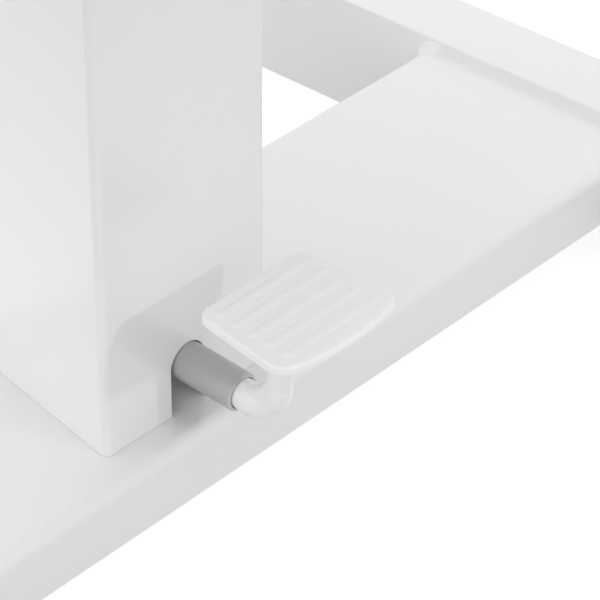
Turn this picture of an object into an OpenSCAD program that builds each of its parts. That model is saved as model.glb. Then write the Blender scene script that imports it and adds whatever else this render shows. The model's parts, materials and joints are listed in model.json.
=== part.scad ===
// Pedestal bath bench: a moulded seat on a gas-spring column with a foot pedal, on an H-shaped steel base.
// Millimetres. Origin on the floor under the column, +X along the cross beam, +Y to the back, +Z up.

/* [Base] */
// Clear width between the two side rails
rail_gap = 600; // [480:5:760]
// Length of a side rail, front to back
rail_l = 500; // [420:5:640]
// Width of a side rail
rail_w = 40; // [36:1:60]
// Height of a side rail
rail_h = 62.9; // [50:0.1:80]
// Wall of the side rail tube
rail_wall = 2.5; // [2:0.5:4]
// Outer corner radius of the side rail tube
rail_corner_r = 1.2; // [1:0.1:8]
// How far the rail tops stand above the cross beam
rail_rise = 6.6; // [4:0.2:12]
// Depth of the cross beam, front to back
beam_d = 137; // [130:1:180]
// Height of the cross beam's flanges
beam_h = 32; // [26:1:40]
// Sheet thickness of the cross beam
beam_wall = 3; // [2:0.5:4]
// Outer radius of the cross beam's bends
beam_bend_r = 6.75; // [5:0.25:10]
// Thickness of the stiffener under the cross beam
stiffener_t = 4; // [3:0.5:6]
// Height of the rubber feet under the rails
foot_h = 15.6; // [12:0.1:30]
// Diameter of a foot at the floor
foot_d = 34; // [26:1:36]
// Distance of a foot's middle from the end of its rail
foot_inset = 28; // [26:1:60]

/* [Column] */
// Width of the column's front face
column_w = 100; // [96:1:120]
// Depth of the column
column_d = 104; // [98:1:120]
// Angle by which each side face leans in towards the back
column_taper = 9.9; // [0:0.1:11]
// Height of the outer column above the cross beam
column_h = 353; // [340:1:420]
// Sheet thickness of the outer column
column_wall = 2.5; // [2:0.25:3]
// Outer corner radius of the outer column
column_corner_r = 3.6; // [3.5:0.1:8]
// Half width of the pedal slot
slot_r = 10.2; // [9.8:0.1:12]
// Height of the slot's arch centre above the cross beam
slot_z = 23.9; // [23.4:0.1:28]
// Thickness of the plate inside the foot of the column
foot_plate_t = 6; // [5:0.5:7]

/* [Lift] */
// Travel of the seat
lift_travel = 150; // [100:5:160]
// Space between the two columns, filled by the guides
guide_gap = 7; // [5:0.5:9]
// Wall of the sliding column
inner_wall = 2.5; // [2:0.25:3]
// Outer corner radius of the sliding column
inner_corner_r = 4; // [3.5:0.5:6]
// Height of the sliding column's lower end above the cross beam, at rest
inner_bottom = 78; // [74:1:90]
// Running clearance of the guides
guide_clear = 0.35; // [0.3:0.05:0.6]
// Length of the upper guide sleeve
collar_l = 40; // [30:1:60]
// Height of the collar's rim
collar_rim = 4; // [3:0.5:8]
// Height of the lower glide
glide_h = 30; // [20:1:40]
// Height of the rubber buffers under the seat plate
buffer_h = 10; // [6:1:16]

/* [Gas spring] */
// Outer diameter of the cylinder
cylinder_d = 28; // [26:1:32]
// Wall of the cylinder
cylinder_wall = 2; // [1.5:0.25:2.5]
// Diameter of the rod
rod_d = 10; // [8:0.5:12]
// Diameter of the release pin in the rod
pin_d = 4; // [3:0.5:4.5]

/* [Pedal] */
// Outer diameter of the lever tube
lever_d = 18.5; // [17:0.5:18.5]
// Wall of the lever tube
lever_wall = 1.4; // [1:0.1:2]
// Height of the tube's axis above the cross beam at the column's face
lever_z = 24.4; // [23.8:0.1:25]
// Downward tilt of the lever at rest
lever_tilt = 2.85; // [0:0.05:4]
// How far the tube stands out of the column
lever_out = 31.6; // [28:0.1:36]
// Distance of the pivot behind the column's face
pivot_in = 35; // [32:1:38]
// Diameter of the pivot pin
pivot_d = 8; // [6:0.5:9]
// Width of the pad at its back edge
pad_w = 63; // [54:0.2:76]
// Depth of the pad at its middle
pad_l = 54.6; // [48:0.1:66]
// Thickness of the pad
pad_t = 5.2; // [4.6:0.1:8]
// Distance of the pad's back edge from the column
pad_back = 32.7; // [28:0.1:36]
// Height of the pad's top above the tube's axis
pad_rise = 58.5; // [50:0.1:64]
// Distance of the pad's neck from the column
neck_out = 50.6; // [48:0.1:56]
// Diameter of the pad's neck
neck_d = 12.6; // [11:0.1:14]
// Outward flare of the pad's sides
pad_flare = 5.9; // [0:0.1:8]
// Radius of the pad's bowed front edge
pad_front_r = 140; // [120:1:260]
// Radius of the pad's corners
pad_corner_r = 9; // [6:0.5:12]
// Depth of the grip grooves
groove_depth = 0.9; // [0.5:0.1:1.5]
// Width of a grip groove
groove_w = 5; // [3:0.1:6]
// Number of grip grooves
groove_count = 5; // [3:1:5]

/* [Seat] */
// Width of the seat
seat_w = 720; // [680:5:760]
// Depth of the seat
seat_d = 400; // [360:5:440]
// Height of the seat moulding
seat_t = 32; // [28:1:45]
// Plan radius of the seat's corners
seat_corner_r = 60; // [40:5:90]
// Rounding of the seat's edges
seat_edge_r = 8; // [5:0.5:10]
// Skin of the seat moulding
seat_skin = 5; // [4:0.5:7]
// Diameter of a drain hole
drain_d = 12; // [8:1:16]
// Side of the seat frame's square tube
frame_s = 25; // [22:1:30]
// Wall of the seat frame's tube
frame_wall = 2; // [1.5:0.25:2.5]
// Length of the seat frame
frame_l = 600; // [560:5:620]
// Distance between the middles of the frame's long tubes
frame_pitch = 200; // [180:5:240]
// Thickness of the seat plate on the sliding column
seat_plate_t = 6; // [5:0.5:8]

/* [Back and hand rail] */
// Diameter of the back tubes
back_d = 22; // [19:0.5:25]
// Distance between the back tubes
back_pitch = 300; // [240:5:340]
// Height of the back panel's top above the seat
back_top = 340; // [300:5:380]
// Width of the back panel
panel_w = 440; // [380:5:480]
// Height of the back panel
panel_h = 180; // [140:5:220]
// Thickness of the back panel
panel_t = 20; // [16:1:28]
// Radius of the back panel's curve
panel_curve_r = 900; // [700:10:1500]
// Diameter of the hand rail's tube
arm_d = 25; // [22:0.5:28]
// Height of the hand rail above the seat
arm_h = 190; // [150:5:230]
// Bend radius of the hand rail and the back tubes
tube_bend_r = 45; // [40:1:55]

/* [Hidden] */
$fn = 48;

// Clearance per side of pieces that are pressed, welded or screwed together
fit = 0.1;
// Radial clearance of pins and rods that run in a bore
run = 0.05;
// Gap at a stop, and between a moving piece and what it seats on
stop_gap = 0.3;
// Overshoot of every cut
cut = 1;
// Straight steps in a rounded corner
corner_steps = 6;
// Smallest corner radius, inside tubes and plugs
small_r = 1;
// Length of a thread beyond its nut, or short of its hole's end
thread_over = 1;

powder_white = [0.93, 0.93, 0.94];
moulded_white = [0.95, 0.95, 0.95];
lever_grey = [0.66, 0.66, 0.66];
rubber_grey = [0.28, 0.28, 0.29];
guide_grey = [0.75, 0.76, 0.77];
zinc = [0.72, 0.74, 0.76];
spring_black = [0.12, 0.12, 0.13];
bright_steel = [0.82, 0.83, 0.85];

// Base
rail_x = rail_gap / 2 + rail_w / 2;
rail_top = foot_h + rail_h;
beam_top = rail_top - rail_rise;
foot_y = rail_l / 2 - foot_inset;
rail_bore_r = max(0.5, rail_corner_r - rail_wall);
cap_t = 4;
cap_plug_l = 16;
cap_plug_wall = 2.5;
foot_edge = 1.5;
foot_lip_h = 4;
foot_neck_h = 7;
foot_neck_in = 3;
stud_d = 8;
stud_over = 6;
stud_plate_r = 8;
stud_plate_t = 3;
stud_plate_z = 5;
nut_af_8 = 13;
nut_h_8 = 6.5;
bolt_clear = 0.3;

// Column and its foot
column_top = beam_top + column_h;
plate_top = beam_top + foot_plate_t;
column_bolt_d = 8;
column_bolt_head = 5.5;
column_bolt_y = 0.36 * column_d;
column_bolt_edge = 9;
column_inner_r = column_corner_r - column_wall + 0.5;
foot_notch_side = 2;
foot_notch_in = 18;
stiffener_w = 180;
stiffener_r = 8;
stiffener_edge = 2;

// Pedal lever: its frame has the pivot as origin and the tube's axis along Y
pivot_y = -column_d / 2 + pivot_in;
pivot_z = beam_top + lever_z + pivot_in * tan(lever_tilt);
face_s = pivot_in / cos(lever_tilt);
lever_bore = lever_d - 2 * lever_wall;
lever_inner_end = 12;
rocker_w = 12;
rocker_half = 5;
rocker_over = 4;
spigot_l = 18;
hub_d = pivot_d + 8;
stem_d = lever_bore - 2 * fit;
stem_in = 20;
neck_bend_r = 10;
tread_h = groove_depth + 0.4;
tread_step = 0.9;
groove_l = pad_w - 6.4;
groove_lead = 0.13;
neck_foot_d = neck_d + 1.8;
neck_mouth = 3;
neck_root_d = neck_d + 7.4;
neck_root_h = 6;
rivet_d = 4;
rivet_sink = 0.2;
rivet_short = 2;

// Release bracket, rod end and release pin
leg_t = 3;
leg_in = 15;
leg_front = pivot_y - 12;
leg_back = 14;
flange_t = 3;
screw_d = 5;
screw_head_h = 3;
screw_head_d = 1.8 * screw_d;
bracket_screw_edge = 8;
bracket_clear = 2;
pin_free = 5.5;
rod_nut_h = 6;
rod_nut_af = rod_d + 7;
bracket_t = 4;
tip_z = pivot_z - pivot_y * tan(lever_tilt) + rocker_half / cos(lever_tilt);
pin_tip = tip_z + stop_gap;
rod_end = pin_tip + pin_free;
bracket_top = rod_end + rod_nut_h + bracket_t;
pin_in = 18;
pin_bore_l = 26;
pivot_head_d = pivot_d + 4;
pivot_head_t = 2;
pivot_end = 4;
pivot_slack = 0.2;
bush_d = pivot_d + 5;
clip_t = 1;
clip_d = pivot_d + 6;
clip_seat_d = pivot_d - 1.6;
clip_mouth = pivot_d - 2;
clip_x = leg_in + leg_t + 2 * pivot_slack;

// Gas spring
gland_l = 15;
piston_l = 12;
piston_slack = 8;
gas_room = 30;
cylinder_cap = 10;
spring_gap = 14;
cylinder_bottom = bracket_top + rod_nut_h + spring_gap;
cylinder_l = gland_l + lift_travel + piston_slack + piston_l + gas_room + cylinder_cap;
cylinder_top = cylinder_bottom + cylinder_l;
cylinder_bore = cylinder_d - 2 * cylinder_wall;
piston_z = cylinder_bottom + gland_l + lift_travel + piston_slack;
piston_d = cylinder_bore - 0.4;
ring_d = cylinder_bore - 0.1;
ring_h = 3;
ring_depth = 2;
spring_plate_t = 6;
spring_nut_h = 8;
top_stud_d = 10;
top_nut_af = top_stud_d + 7;

// Sliding column and seat plate
inner_inset = column_wall + guide_gap;
inner_z = beam_top + inner_bottom;
seat_plate_z = column_top + collar_rim + buffer_h + stop_gap;
glide_lip = 3;
buffer_x = 12;
buffer_d = inner_inset - 2;
seat_plate_w = 170;
seat_plate_d = frame_pitch + frame_s + 10;
seat_plate_r = 12;
plate_bolt_x = 62;
bolt_d = 8;

// Seat
frame_z = seat_plate_z + seat_plate_t;
frame_mid = frame_z + frame_s / 2;
frame_in = frame_s - 2 * frame_wall;
seat_z = frame_z + frame_s;
seat_top = seat_z + seat_t;
rim_t = 4.5;
rib_t = 3;
rib_pitch_x = 60;
rib_pitch_y = 56;
rib_count_x = 4;
rib_count_y = 2;
drain_count_x = 3;
drain_count_y = 2;
boss_d = 16;
seat_screw_x = 0.37 * frame_l;
seat_screw_in = 18;
hold_w = 34;
hold_l = 120;
hold_edge = 36;
hold_x = seat_w / 2 - hold_edge;
hold_r = hold_w / 2 - fit;
hold_wall = 4;

// Back and hand rail
back_clear = 4;
back_wall = 1.5;
back_bend_y = seat_d / 2 - back_clear;
upright_y = back_bend_y + tube_bend_r;
upright_z = frame_mid + tube_bend_r;
upright_l = seat_top + back_top - upright_z;
panel_reach = panel_curve_r + panel_t / 2 + stop_gap + back_d / 2;
panel_centre_y = -sqrt(pow(panel_reach, 2) - pow(back_pitch / 2, 2));
panel_half_turn = asin(panel_w / 2 / panel_curve_r) + 2;
panel_corner_r = 45;
panel_edge_r = 7;
panel_screw_z = 45;
panel_screw_in = 12;
plug_in = 14;
plug_t = 3;
arm_wall = 1.5;
socket_wall = 3;
socket_floor = 3;
socket_bar_in = 40;
socket_drop = 4;
socket_rise = 16;
arm_clear = 3;
arm_x = seat_w / 2 + arm_d / 2 + socket_wall + fit + arm_clear;
arm_y = frame_pitch / 2;
socket_bottom = frame_z - socket_drop;
socket_h = socket_drop + frame_s + socket_rise;
arm_top = seat_top + arm_h - arm_d / 2;
grip_wall = 4;
grip_edge = 2;
grip_l = 2 * (arm_y - tube_bend_r - grip_edge);
knob_d = 26;
knob_neck_d = 14;
knob_l = 12;
knob_gap = 4;
knob_up = 4;
knob_z = seat_z + knob_up;

// Points of an arc about c from angle a0 to a1
function arc(c, r, a0, a1) =
    [for (i = [0 : corner_steps]) let (a = a0 + (a1 - a0) * i / corner_steps) c + r * [cos(a), sin(a)]];

// Half the clear width inside the outer column at a depth y
function column_half(y) =
    column_w / 2 - (y + column_d / 2) * tan(column_taper) - column_wall / cos(column_taper);

module round_rect(w, d, r) {
    x = w / 2 - r;
    y = d / 2 - r;
    polygon(concat(arc([x, y], r, 0, 90), arc([-x, y], r, 90, 180),
        arc([-x, -y], r, 180, 270), arc([x, -y], r, 270, 360)));
}

// Plan outline of the column, moved inwards by inset
module column_outline(inset, r) {
    t = column_taper;
    front = -column_d / 2 + inset;
    depth = column_d - 2 * inset;
    half = column_w / 2 - inset * tan(t) - inset / cos(t);
    front_c = [half - r * (1 + sin(t)) / cos(t), front + r];
    back_c = [half - (r + (depth - r) * sin(t)) / cos(t), front + depth - r];
    polygon(concat(arc(front_c, r, -90, t), arc(back_c, r, t, 90),
        arc([-back_c[0], back_c[1]], r, 90, 180 - t), arc([-front_c[0], front_c[1]], r, 180 - t, 270)));
}

module bar_x(d, x0, x1) {
    translate([x0, 0, 0]) rotate([0, 90, 0]) cylinder(d = d, h = x1 - x0);
}

module bar_y(d, y0, y1) {
    translate([0, y0, 0]) rotate([-90, 0, 0]) cylinder(d = d, h = y1 - y0);
}

module hex_nut(af, h, bore) {
    difference() {
        cylinder(d = af / cos(30), h = h, $fn = 6);
        translate([0, 0, -cut]) cylinder(d = bore, h = h + 2 * cut);
    }
}

// Hexagon bolt pointing up, with the underside of its head at z = 0
module hex_bolt(d, af, head, l) {
    translate([0, 0, -head]) cylinder(d = af / cos(30), h = head, $fn = 6);
    cylinder(d = d, h = l);
}

module square_tube(l) {
    linear_extrude(l) difference() {
        round_rect(frame_s, frame_s, frame_wall + small_r);
        round_rect(frame_in, frame_in, small_r);
    }
}

module at_feet() {
    for (sx = [-1, 1], sy = [-1, 1]) translate([sx * rail_x, sy * foot_y, 0]) children();
}

module at_column_bolts() {
    for (sy = [-1, 1], sx = [-1, 1]) {
        y = sy * column_bolt_y;
        translate([sx * (column_half(y) - column_bolt_edge), y, 0]) children();
    }
}

module lever_frame() {
    translate([0, pivot_y, pivot_z]) rotate([lever_tilt, 0, 0]) children();
}

// Cross beam: one sheet with a soft bend along each long edge, open below
module beam_profile() {
    half = beam_d / 2;
    inner_r = beam_bend_r - beam_wall;
    bend_y = half - beam_bend_r;
    outer = concat([[half, -beam_h]], arc([bend_y, -beam_bend_r], beam_bend_r, 0, 90),
        arc([-bend_y, -beam_bend_r], beam_bend_r, 90, 180), [[-half, -beam_h]]);
    inner = concat([[-half + beam_wall, -beam_h]], arc([-bend_y, -beam_bend_r], inner_r, 180, 90),
        arc([bend_y, -beam_bend_r], inner_r, 90, 0), [[half - beam_wall, -beam_h]]);
    polygon(concat(outer, inner));
}

module cross_beam() {
    color(powder_white) difference() {
        translate([-rail_gap / 2, 0, beam_top])
            rotate([90, 0, 90]) linear_extrude(rail_gap) beam_profile();
        at_column_bolts() translate([0, 0, beam_top - beam_wall - cut])
            cylinder(d = column_bolt_d + 2 * bolt_clear, h = beam_wall + 2 * cut);
    }
}

module beam_stiffener() {
    depth = beam_d - 2 * (beam_bend_r + stiffener_edge);
    color(powder_white) translate([0, 0, beam_top - beam_wall - stiffener_t]) difference() {
        linear_extrude(stiffener_t) round_rect(stiffener_w, depth, stiffener_r);
        at_column_bolts() translate([0, 0, -cut])
            cylinder(d = column_bolt_d + 2 * bolt_clear, h = stiffener_t + 2 * cut);
    }
}

module side_rail(side) {
    color(powder_white) difference() {
        translate([side * rail_x, rail_l / 2, foot_h + rail_h / 2])
            rotate([90, 0, 0]) linear_extrude(rail_l) difference() {
                round_rect(rail_w, rail_h, rail_corner_r);
                round_rect(rail_w - 2 * rail_wall, rail_h - 2 * rail_wall, rail_bore_r);
            }
        for (sy = [-1, 1]) translate([side * rail_x, sy * foot_y, foot_h - cut])
            cylinder(d = stud_d + 2 * bolt_clear, h = rail_wall + 2 * cut);
    }
}

// End cap of a rail: a rounded plate with a hollow plug that grips the tube
module rail_cap(sx, sy) {
    plug_w = rail_w - 2 * rail_wall - 2 * fit;
    plug_h = rail_h - 2 * rail_wall - 2 * fit;
    color(moulded_white) translate([sx * rail_x, sy * rail_l / 2, foot_h + rail_h / 2])
        rotate([sy * -90, 0, 0]) {
            linear_extrude(cap_t) round_rect(rail_w, rail_h, rail_corner_r);
            translate([0, 0, -cap_plug_l]) linear_extrude(cap_plug_l) difference() {
                round_rect(plug_w, plug_h, rail_bore_r);
                round_rect(plug_w - 2 * cap_plug_wall, plug_h - 2 * cap_plug_wall, small_r);
            }
        }
}

// Rubber foot: a turned pad, wider at the floor, with a recess for the stud's plate
module rubber_foot(sx, sy) {
    r = foot_d / 2;
    neck = r - foot_neck_in;
    bore = stud_d / 2 + fit;
    plate_r = stud_plate_r + fit;
    plate_z = stud_plate_z + stud_plate_t;
    color(rubber_grey) translate([sx * rail_x, sy * foot_y, 0]) rotate_extrude()
        polygon([[0, 0], [r - foot_edge, 0], [r, foot_edge], [r, foot_lip_h], [neck, foot_neck_h],
            [neck, foot_h - foot_edge], [neck - foot_edge, foot_h], [bore, foot_h], [bore, plate_z],
            [plate_r, plate_z], [plate_r, stud_plate_z], [0, stud_plate_z]]);
}

module foot_studs() {
    stud_l = foot_h - stud_plate_z + rail_wall + nut_h_8 + stud_over;
    color(zinc) at_feet() translate([0, 0, stud_plate_z]) {
        cylinder(r = stud_plate_r, h = stud_plate_t);
        cylinder(d = stud_d, h = stud_l);
    }
}

module foot_nuts() {
    color(zinc) at_feet() translate([0, 0, foot_h + rail_wall])
        hex_nut(nut_af_8, nut_h_8, stud_d + 2 * fit);
}

module column_bolts() {
    seat = beam_top - beam_wall - stiffener_t;
    color(zinc) at_column_bolts() translate([0, 0, seat])
        hex_bolt(column_bolt_d, nut_af_8, column_bolt_head, plate_top - seat);
}

// Plate welded inside the foot of the column, notched behind the slot and threaded for the bolts from below
module column_foot_plate() {
    notch_w = 2 * (slot_r + foot_notch_side);
    color(powder_white) difference() {
        translate([0, 0, beam_top]) linear_extrude(foot_plate_t)
            column_outline(column_wall + fit, column_corner_r - column_wall);
        at_column_bolts() translate([0, 0, beam_top - cut])
            cylinder(d = column_bolt_d + 2 * fit, h = foot_plate_t + 2 * cut);
        at_bracket_screws() translate([0, 0, beam_top - cut])
            cylinder(d = screw_d + 2 * fit, h = foot_plate_t + 2 * cut);
        translate([-notch_w / 2, -column_d / 2, beam_top - cut])
            cube([notch_w, column_wall + foot_notch_in, foot_plate_t + 2 * cut]);
    }
}

module outer_column() {
    color(powder_white) difference() {
        translate([0, 0, beam_top]) linear_extrude(column_h) difference() {
            column_outline(0, column_corner_r);
            column_outline(column_wall, column_inner_r);
        }
        pedal_slot();
    }
}

// Arched slot in the column's front face, open at its lower edge
module pedal_slot() {
    y0 = -column_d / 2 - cut;
    depth = column_wall + 2 * cut;
    translate([0, 0, beam_top + slot_z]) bar_y(2 * slot_r, y0, y0 + depth);
    translate([-slot_r, y0, beam_top - cut]) cube([2 * slot_r, depth, slot_z + cut]);
}

// Guide collar: a rim on the column's top edge and a sleeve that guides the sliding column
module guide_collar() {
    bore = inner_inset - guide_clear;
    color(guide_grey) {
        translate([0, 0, column_top]) linear_extrude(collar_rim) difference() {
            column_outline(0, column_corner_r);
            column_outline(bore, inner_corner_r + guide_clear);
        }
        translate([0, 0, column_top - collar_l]) linear_extrude(collar_l) difference() {
            column_outline(column_wall + fit, column_inner_r);
            column_outline(bore, inner_corner_r + guide_clear);
        }
    }
}

module at_bracket_screws() {
    x = (leg_in + leg_t + bracket_half()) / 2;
    for (sx = [-1, 1], y = [leg_front + bracket_screw_edge, leg_back - bracket_screw_edge])
        translate([sx * x, y, 0]) children();
}

function bracket_half() = column_half(leg_back) - bracket_clear;

// Release bracket: a bent strap that carries the gas spring's rod and the pedal's pivot pin
module release_bracket() {
    depth = leg_back - leg_front;
    color(zinc) difference() {
        union() {
            for (sx = [-1, 1]) {
                translate([sx > 0 ? leg_in : -leg_in - leg_t, leg_front, plate_top])
                    cube([leg_t, depth, bracket_top - plate_top]);
                translate([sx > 0 ? leg_in : -bracket_half(), leg_front, plate_top])
                    cube([bracket_half() - leg_in, depth, flange_t]);
            }
            translate([-leg_in - leg_t, leg_front, bracket_top - bracket_t])
                cube([2 * (leg_in + leg_t), depth, bracket_t]);
        }
        translate([0, 0, bracket_top - bracket_t - cut])
            cylinder(d = rod_d + 2 * fit, h = bracket_t + 2 * cut);
        translate([0, pivot_y, pivot_z])
            bar_x(pivot_d + 2 * run, -leg_in - leg_t - cut, leg_in + leg_t + cut);
        at_bracket_screws() translate([0, 0, plate_top - cut])
            cylinder(d = screw_d + 2 * bolt_clear, h = flange_t + 2 * cut);
    }
}

module bracket_screws() {
    color(zinc) at_bracket_screws() {
        translate([0, 0, beam_top]) cylinder(d = screw_d, h = foot_plate_t + flange_t);
        translate([0, 0, plate_top + flange_t]) cylinder(d = screw_head_d, h = screw_head_h);
    }
}

module pivot_pin() {
    out = leg_in + leg_t;
    head = -out - pivot_slack;
    color(bright_steel) translate([0, pivot_y, pivot_z]) difference() {
        union() {
            bar_x(pivot_d, head - pivot_slack, out + pivot_end);
            bar_x(pivot_head_d, head - pivot_head_t, head);
        }
        difference() {
            bar_x(pivot_d + 2 * cut, clip_x - fit, clip_x + clip_t + fit);
            bar_x(clip_seat_d, clip_x - cut, clip_x + clip_t + cut);
        }
    }
}

// Snap ring in the pin's groove, open at one side
module pivot_clip() {
    color(bright_steel) translate([0, pivot_y, pivot_z]) difference() {
        bar_x(clip_d, clip_x, clip_x + clip_t);
        bar_x(clip_seat_d + 2 * fit, clip_x - cut, clip_x + clip_t + cut);
        translate([clip_x - cut, -clip_mouth / 2, 0]) cube([clip_t + 2 * cut, clip_mouth, clip_d]);
    }
}

module pivot_bushes() {
    x0 = rocker_w / 2 + stop_gap;
    color(guide_grey) for (sx = [-1, 1]) translate([0, pivot_y, pivot_z]) difference() {
        bar_x(bush_d, sx > 0 ? x0 : -leg_in, sx > 0 ? leg_in : -x0);
        bar_x(pivot_d + 2 * run, -leg_in - cut, leg_in + cut);
    }
}

module rod_nuts() {
    color(zinc) for (z = [rod_end, bracket_top]) translate([0, 0, z])
        hex_nut(rod_nut_af, rod_nut_h, rod_d + 2 * fit);
}

module gas_rod() {
    color(bright_steel) difference() {
        translate([0, 0, rod_end]) cylinder(d = rod_d, h = piston_z + piston_l - rod_end);
        translate([0, 0, rod_end - cut]) cylinder(d = pin_d + 2 * run, h = pin_bore_l + cut);
    }
}

module gas_piston() {
    groove_z = piston_z + (piston_l - ring_h) / 2;
    color(zinc) difference() {
        translate([0, 0, piston_z]) cylinder(d = piston_d, h = piston_l);
        translate([0, 0, piston_z - cut]) cylinder(d = rod_d + 2 * run, h = piston_l + 2 * cut);
        translate([0, 0, groove_z - fit]) difference() {
            cylinder(d = piston_d + 2 * cut, h = ring_h + 2 * fit);
            translate([0, 0, -cut]) cylinder(d = ring_d - 2 * ring_depth - 2 * fit, h = ring_h + 2 * cut);
        }
    }
}

module piston_ring() {
    color(rubber_grey) translate([0, 0, piston_z + (piston_l - ring_h) / 2]) difference() {
        cylinder(d = ring_d, h = ring_h);
        translate([0, 0, -cut]) cylinder(d = ring_d - 2 * ring_depth, h = ring_h + 2 * cut);
    }
}

module release_pin() {
    color(bright_steel) {
        translate([0, 0, pin_tip + pin_d / 2]) sphere(d = pin_d);
        translate([0, 0, pin_tip + pin_d / 2]) cylinder(d = pin_d, h = pin_free + pin_in - pin_d / 2);
    }
}

module lever_tube() {
    color(lever_grey) lever_frame() difference() {
        bar_y(lever_d, -face_s - lever_out, -lever_inner_end);
        bar_y(lever_bore, -face_s - lever_out - cut, -lever_inner_end + cut);
        rocker_rivet_bar(rivet_d + 2 * fit, lever_d);
        translate([0, -face_s - lever_out + stem_in / 2, -lever_d])
            cylinder(d = rivet_d + 2 * fit, h = lever_d);
    }
}

module rocker_rivet_bar(d, reach) {
    translate([0, -lever_inner_end - spigot_l / 2, 0]) bar_x(d, -reach / 2 - cut, reach / 2 + cut);
}

// Rocker: a spigot in the tube, a hub on the pivot pin and a flat tip under the release pin
module rocker_arm() {
    tip = -pivot_y / cos(lever_tilt) + rocker_over;
    color(zinc) lever_frame() difference() {
        union() {
            bar_y(lever_bore - 2 * fit, -lever_inner_end - spigot_l, -lever_inner_end);
            translate([-rocker_w / 2, -lever_inner_end - cut, -rocker_half])
                cube([rocker_w, lever_inner_end + tip + cut, 2 * rocker_half]);
            bar_x(hub_d, -rocker_w / 2, rocker_w / 2);
        }
        bar_x(pivot_d + 2 * run, -rocker_w, rocker_w);
        rocker_rivet_bar(rivet_d + 2 * fit, lever_d);
    }
}

module rocker_rivet() {
    color(zinc) lever_frame() translate([0, -lever_inner_end - spigot_l / 2, 0])
        bar_x(rivet_d, -lever_d / 2, lever_d / 2);
}

module stem_rivet() {
    color(zinc) lever_frame() translate([0, -face_s - lever_out + stem_in / 2, rivet_sink - lever_d / 2])
        cylinder(d = rivet_d, h = lever_d / 2 - rivet_short);
}

// Centre of the pad's front corner, whose round meets the flared side and the bowed front edge
function pad_front_corner() =
    let (side = [sin(pad_flare), -cos(pad_flare)], out = [cos(pad_flare), sin(pad_flare)],
        bow = [0, pad_front_r - pad_l], start = out * (pad_w / 2 * cos(pad_flare) - pad_corner_r) - bow,
        b = side * start, q = start * start - pow(pad_front_r - pad_corner_r, 2))
    bow + start + (sqrt(b * b - q) - b) * side;

// Plan of the pad, drawn in by inset, with its back edge on y = 0
module pad_outline(inset) {
    r = pad_corner_r - inset;
    f = pad_flare;
    bow = [0, pad_front_r - pad_l];
    front_c = pad_front_corner();
    turn = atan2(front_c[1] - bow[1], front_c[0]);
    back_c = [(pad_w / 2 * cos(f) - pad_corner_r * (1 - sin(f))) / cos(f), -pad_corner_r];
    polygon(concat(arc(bow, pad_front_r - inset, -179 - turn, turn - 1), arc(front_c, r, turn, f),
        arc(back_c, r, f, 90), arc([-back_c[0], back_c[1]], r, 90, 180 - f),
        arc([-front_c[0], front_c[1]], r, 180 - f, 180 - turn)));
}

// Pad under its tread: a rounded lower edge and a chamfer, with its upper face on z = 0
module pad_shell(h) {
    slice = 0.05;
    round_r = pad_t / 2;
    hull() {
        for (a = [0 : 30 : 90]) translate([0, 0, -h + round_r * (1 - cos(a))])
            linear_extrude(slice) pad_outline(0.8 * round_r * (1 - sin(a)));
        translate([0, 0, -tread_step - slice]) linear_extrude(slice) pad_outline(0);
        translate([0, 0, -slice]) linear_extrude(slice) pad_outline(tread_step);
    }
}

// Round-ended grip groove, centred on the y axis
module grip_groove() {
    translate([0, 0, -groove_depth]) linear_extrude(groove_depth + cut)
        round_rect(groove_l, groove_w, 0.49 * groove_w);
}

// Tread of the pad: a raised field with round-ended grip grooves across it
module pad_tread() {
    rows = groove_count + 1;
    difference() {
        translate([0, 0, -tread_h]) linear_extrude(tread_h) pad_outline(tread_step);
        for (i = [1 : groove_count]) translate([0, -pad_l * (i - groove_lead) / rows, 0]) grip_groove();
    }
}

// Pedal: a grooved pad on a tall neck that bends down into a stem in the lever tube
module pedal_pad() {
    neck_h = pad_rise - pad_t - neck_bend_r;
    bend_y = -neck_out + neck_bend_r;
    mouth_y = -lever_out + neck_mouth;
    color(moulded_white) lever_frame() translate([0, -face_s, 0]) {
        translate([0, -pad_back, pad_rise]) pad_tread();
        translate([0, -pad_back, pad_rise - tread_h]) pad_shell(pad_t - tread_h);
        translate([0, -neck_out, pad_rise - pad_t - neck_root_h])
            cylinder(d1 = neck_d, d2 = neck_root_d, h = neck_root_h + pad_t / 2);
        translate([0, -neck_out, neck_bend_r]) cylinder(d = neck_d, h = neck_h);
        translate([0, bend_y, neck_bend_r]) rotate([180, 90, 0])
            rotate_extrude(angle = 90) translate([neck_bend_r, 0]) circle(d = neck_d);
        translate([0, bend_y, 0]) rotate([-90, 0, 0])
            cylinder(d1 = neck_d, d2 = neck_foot_d, h = mouth_y - bend_y);
        difference() {
            bar_y(stem_d, mouth_y, -lever_out + stem_in);
            translate([0, -lever_out + stem_in / 2, -lever_d]) cylinder(d = rivet_d + 2 * fit, h = lever_d);
        }
    }
}

module inner_column() {
    color(powder_white) translate([0, 0, inner_z]) linear_extrude(seat_plate_z - inner_z) difference() {
        column_outline(inner_inset, inner_corner_r);
        column_outline(inner_inset + inner_wall, inner_corner_r - inner_wall);
    }
}

// Lower glide: a sleeve on the sliding column's end, with a lip under its edge
module lower_glide() {
    outer = column_wall + guide_clear;
    color(guide_grey) {
        translate([0, 0, inner_z]) linear_extrude(glide_h) difference() {
            column_outline(outer, column_inner_r);
            column_outline(inner_inset - fit, inner_corner_r + fit);
        }
        translate([0, 0, inner_z - glide_lip]) linear_extrude(glide_lip) difference() {
            column_outline(outer, column_inner_r);
            column_outline(inner_inset + inner_wall, inner_corner_r - inner_wall);
        }
    }
}

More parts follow.
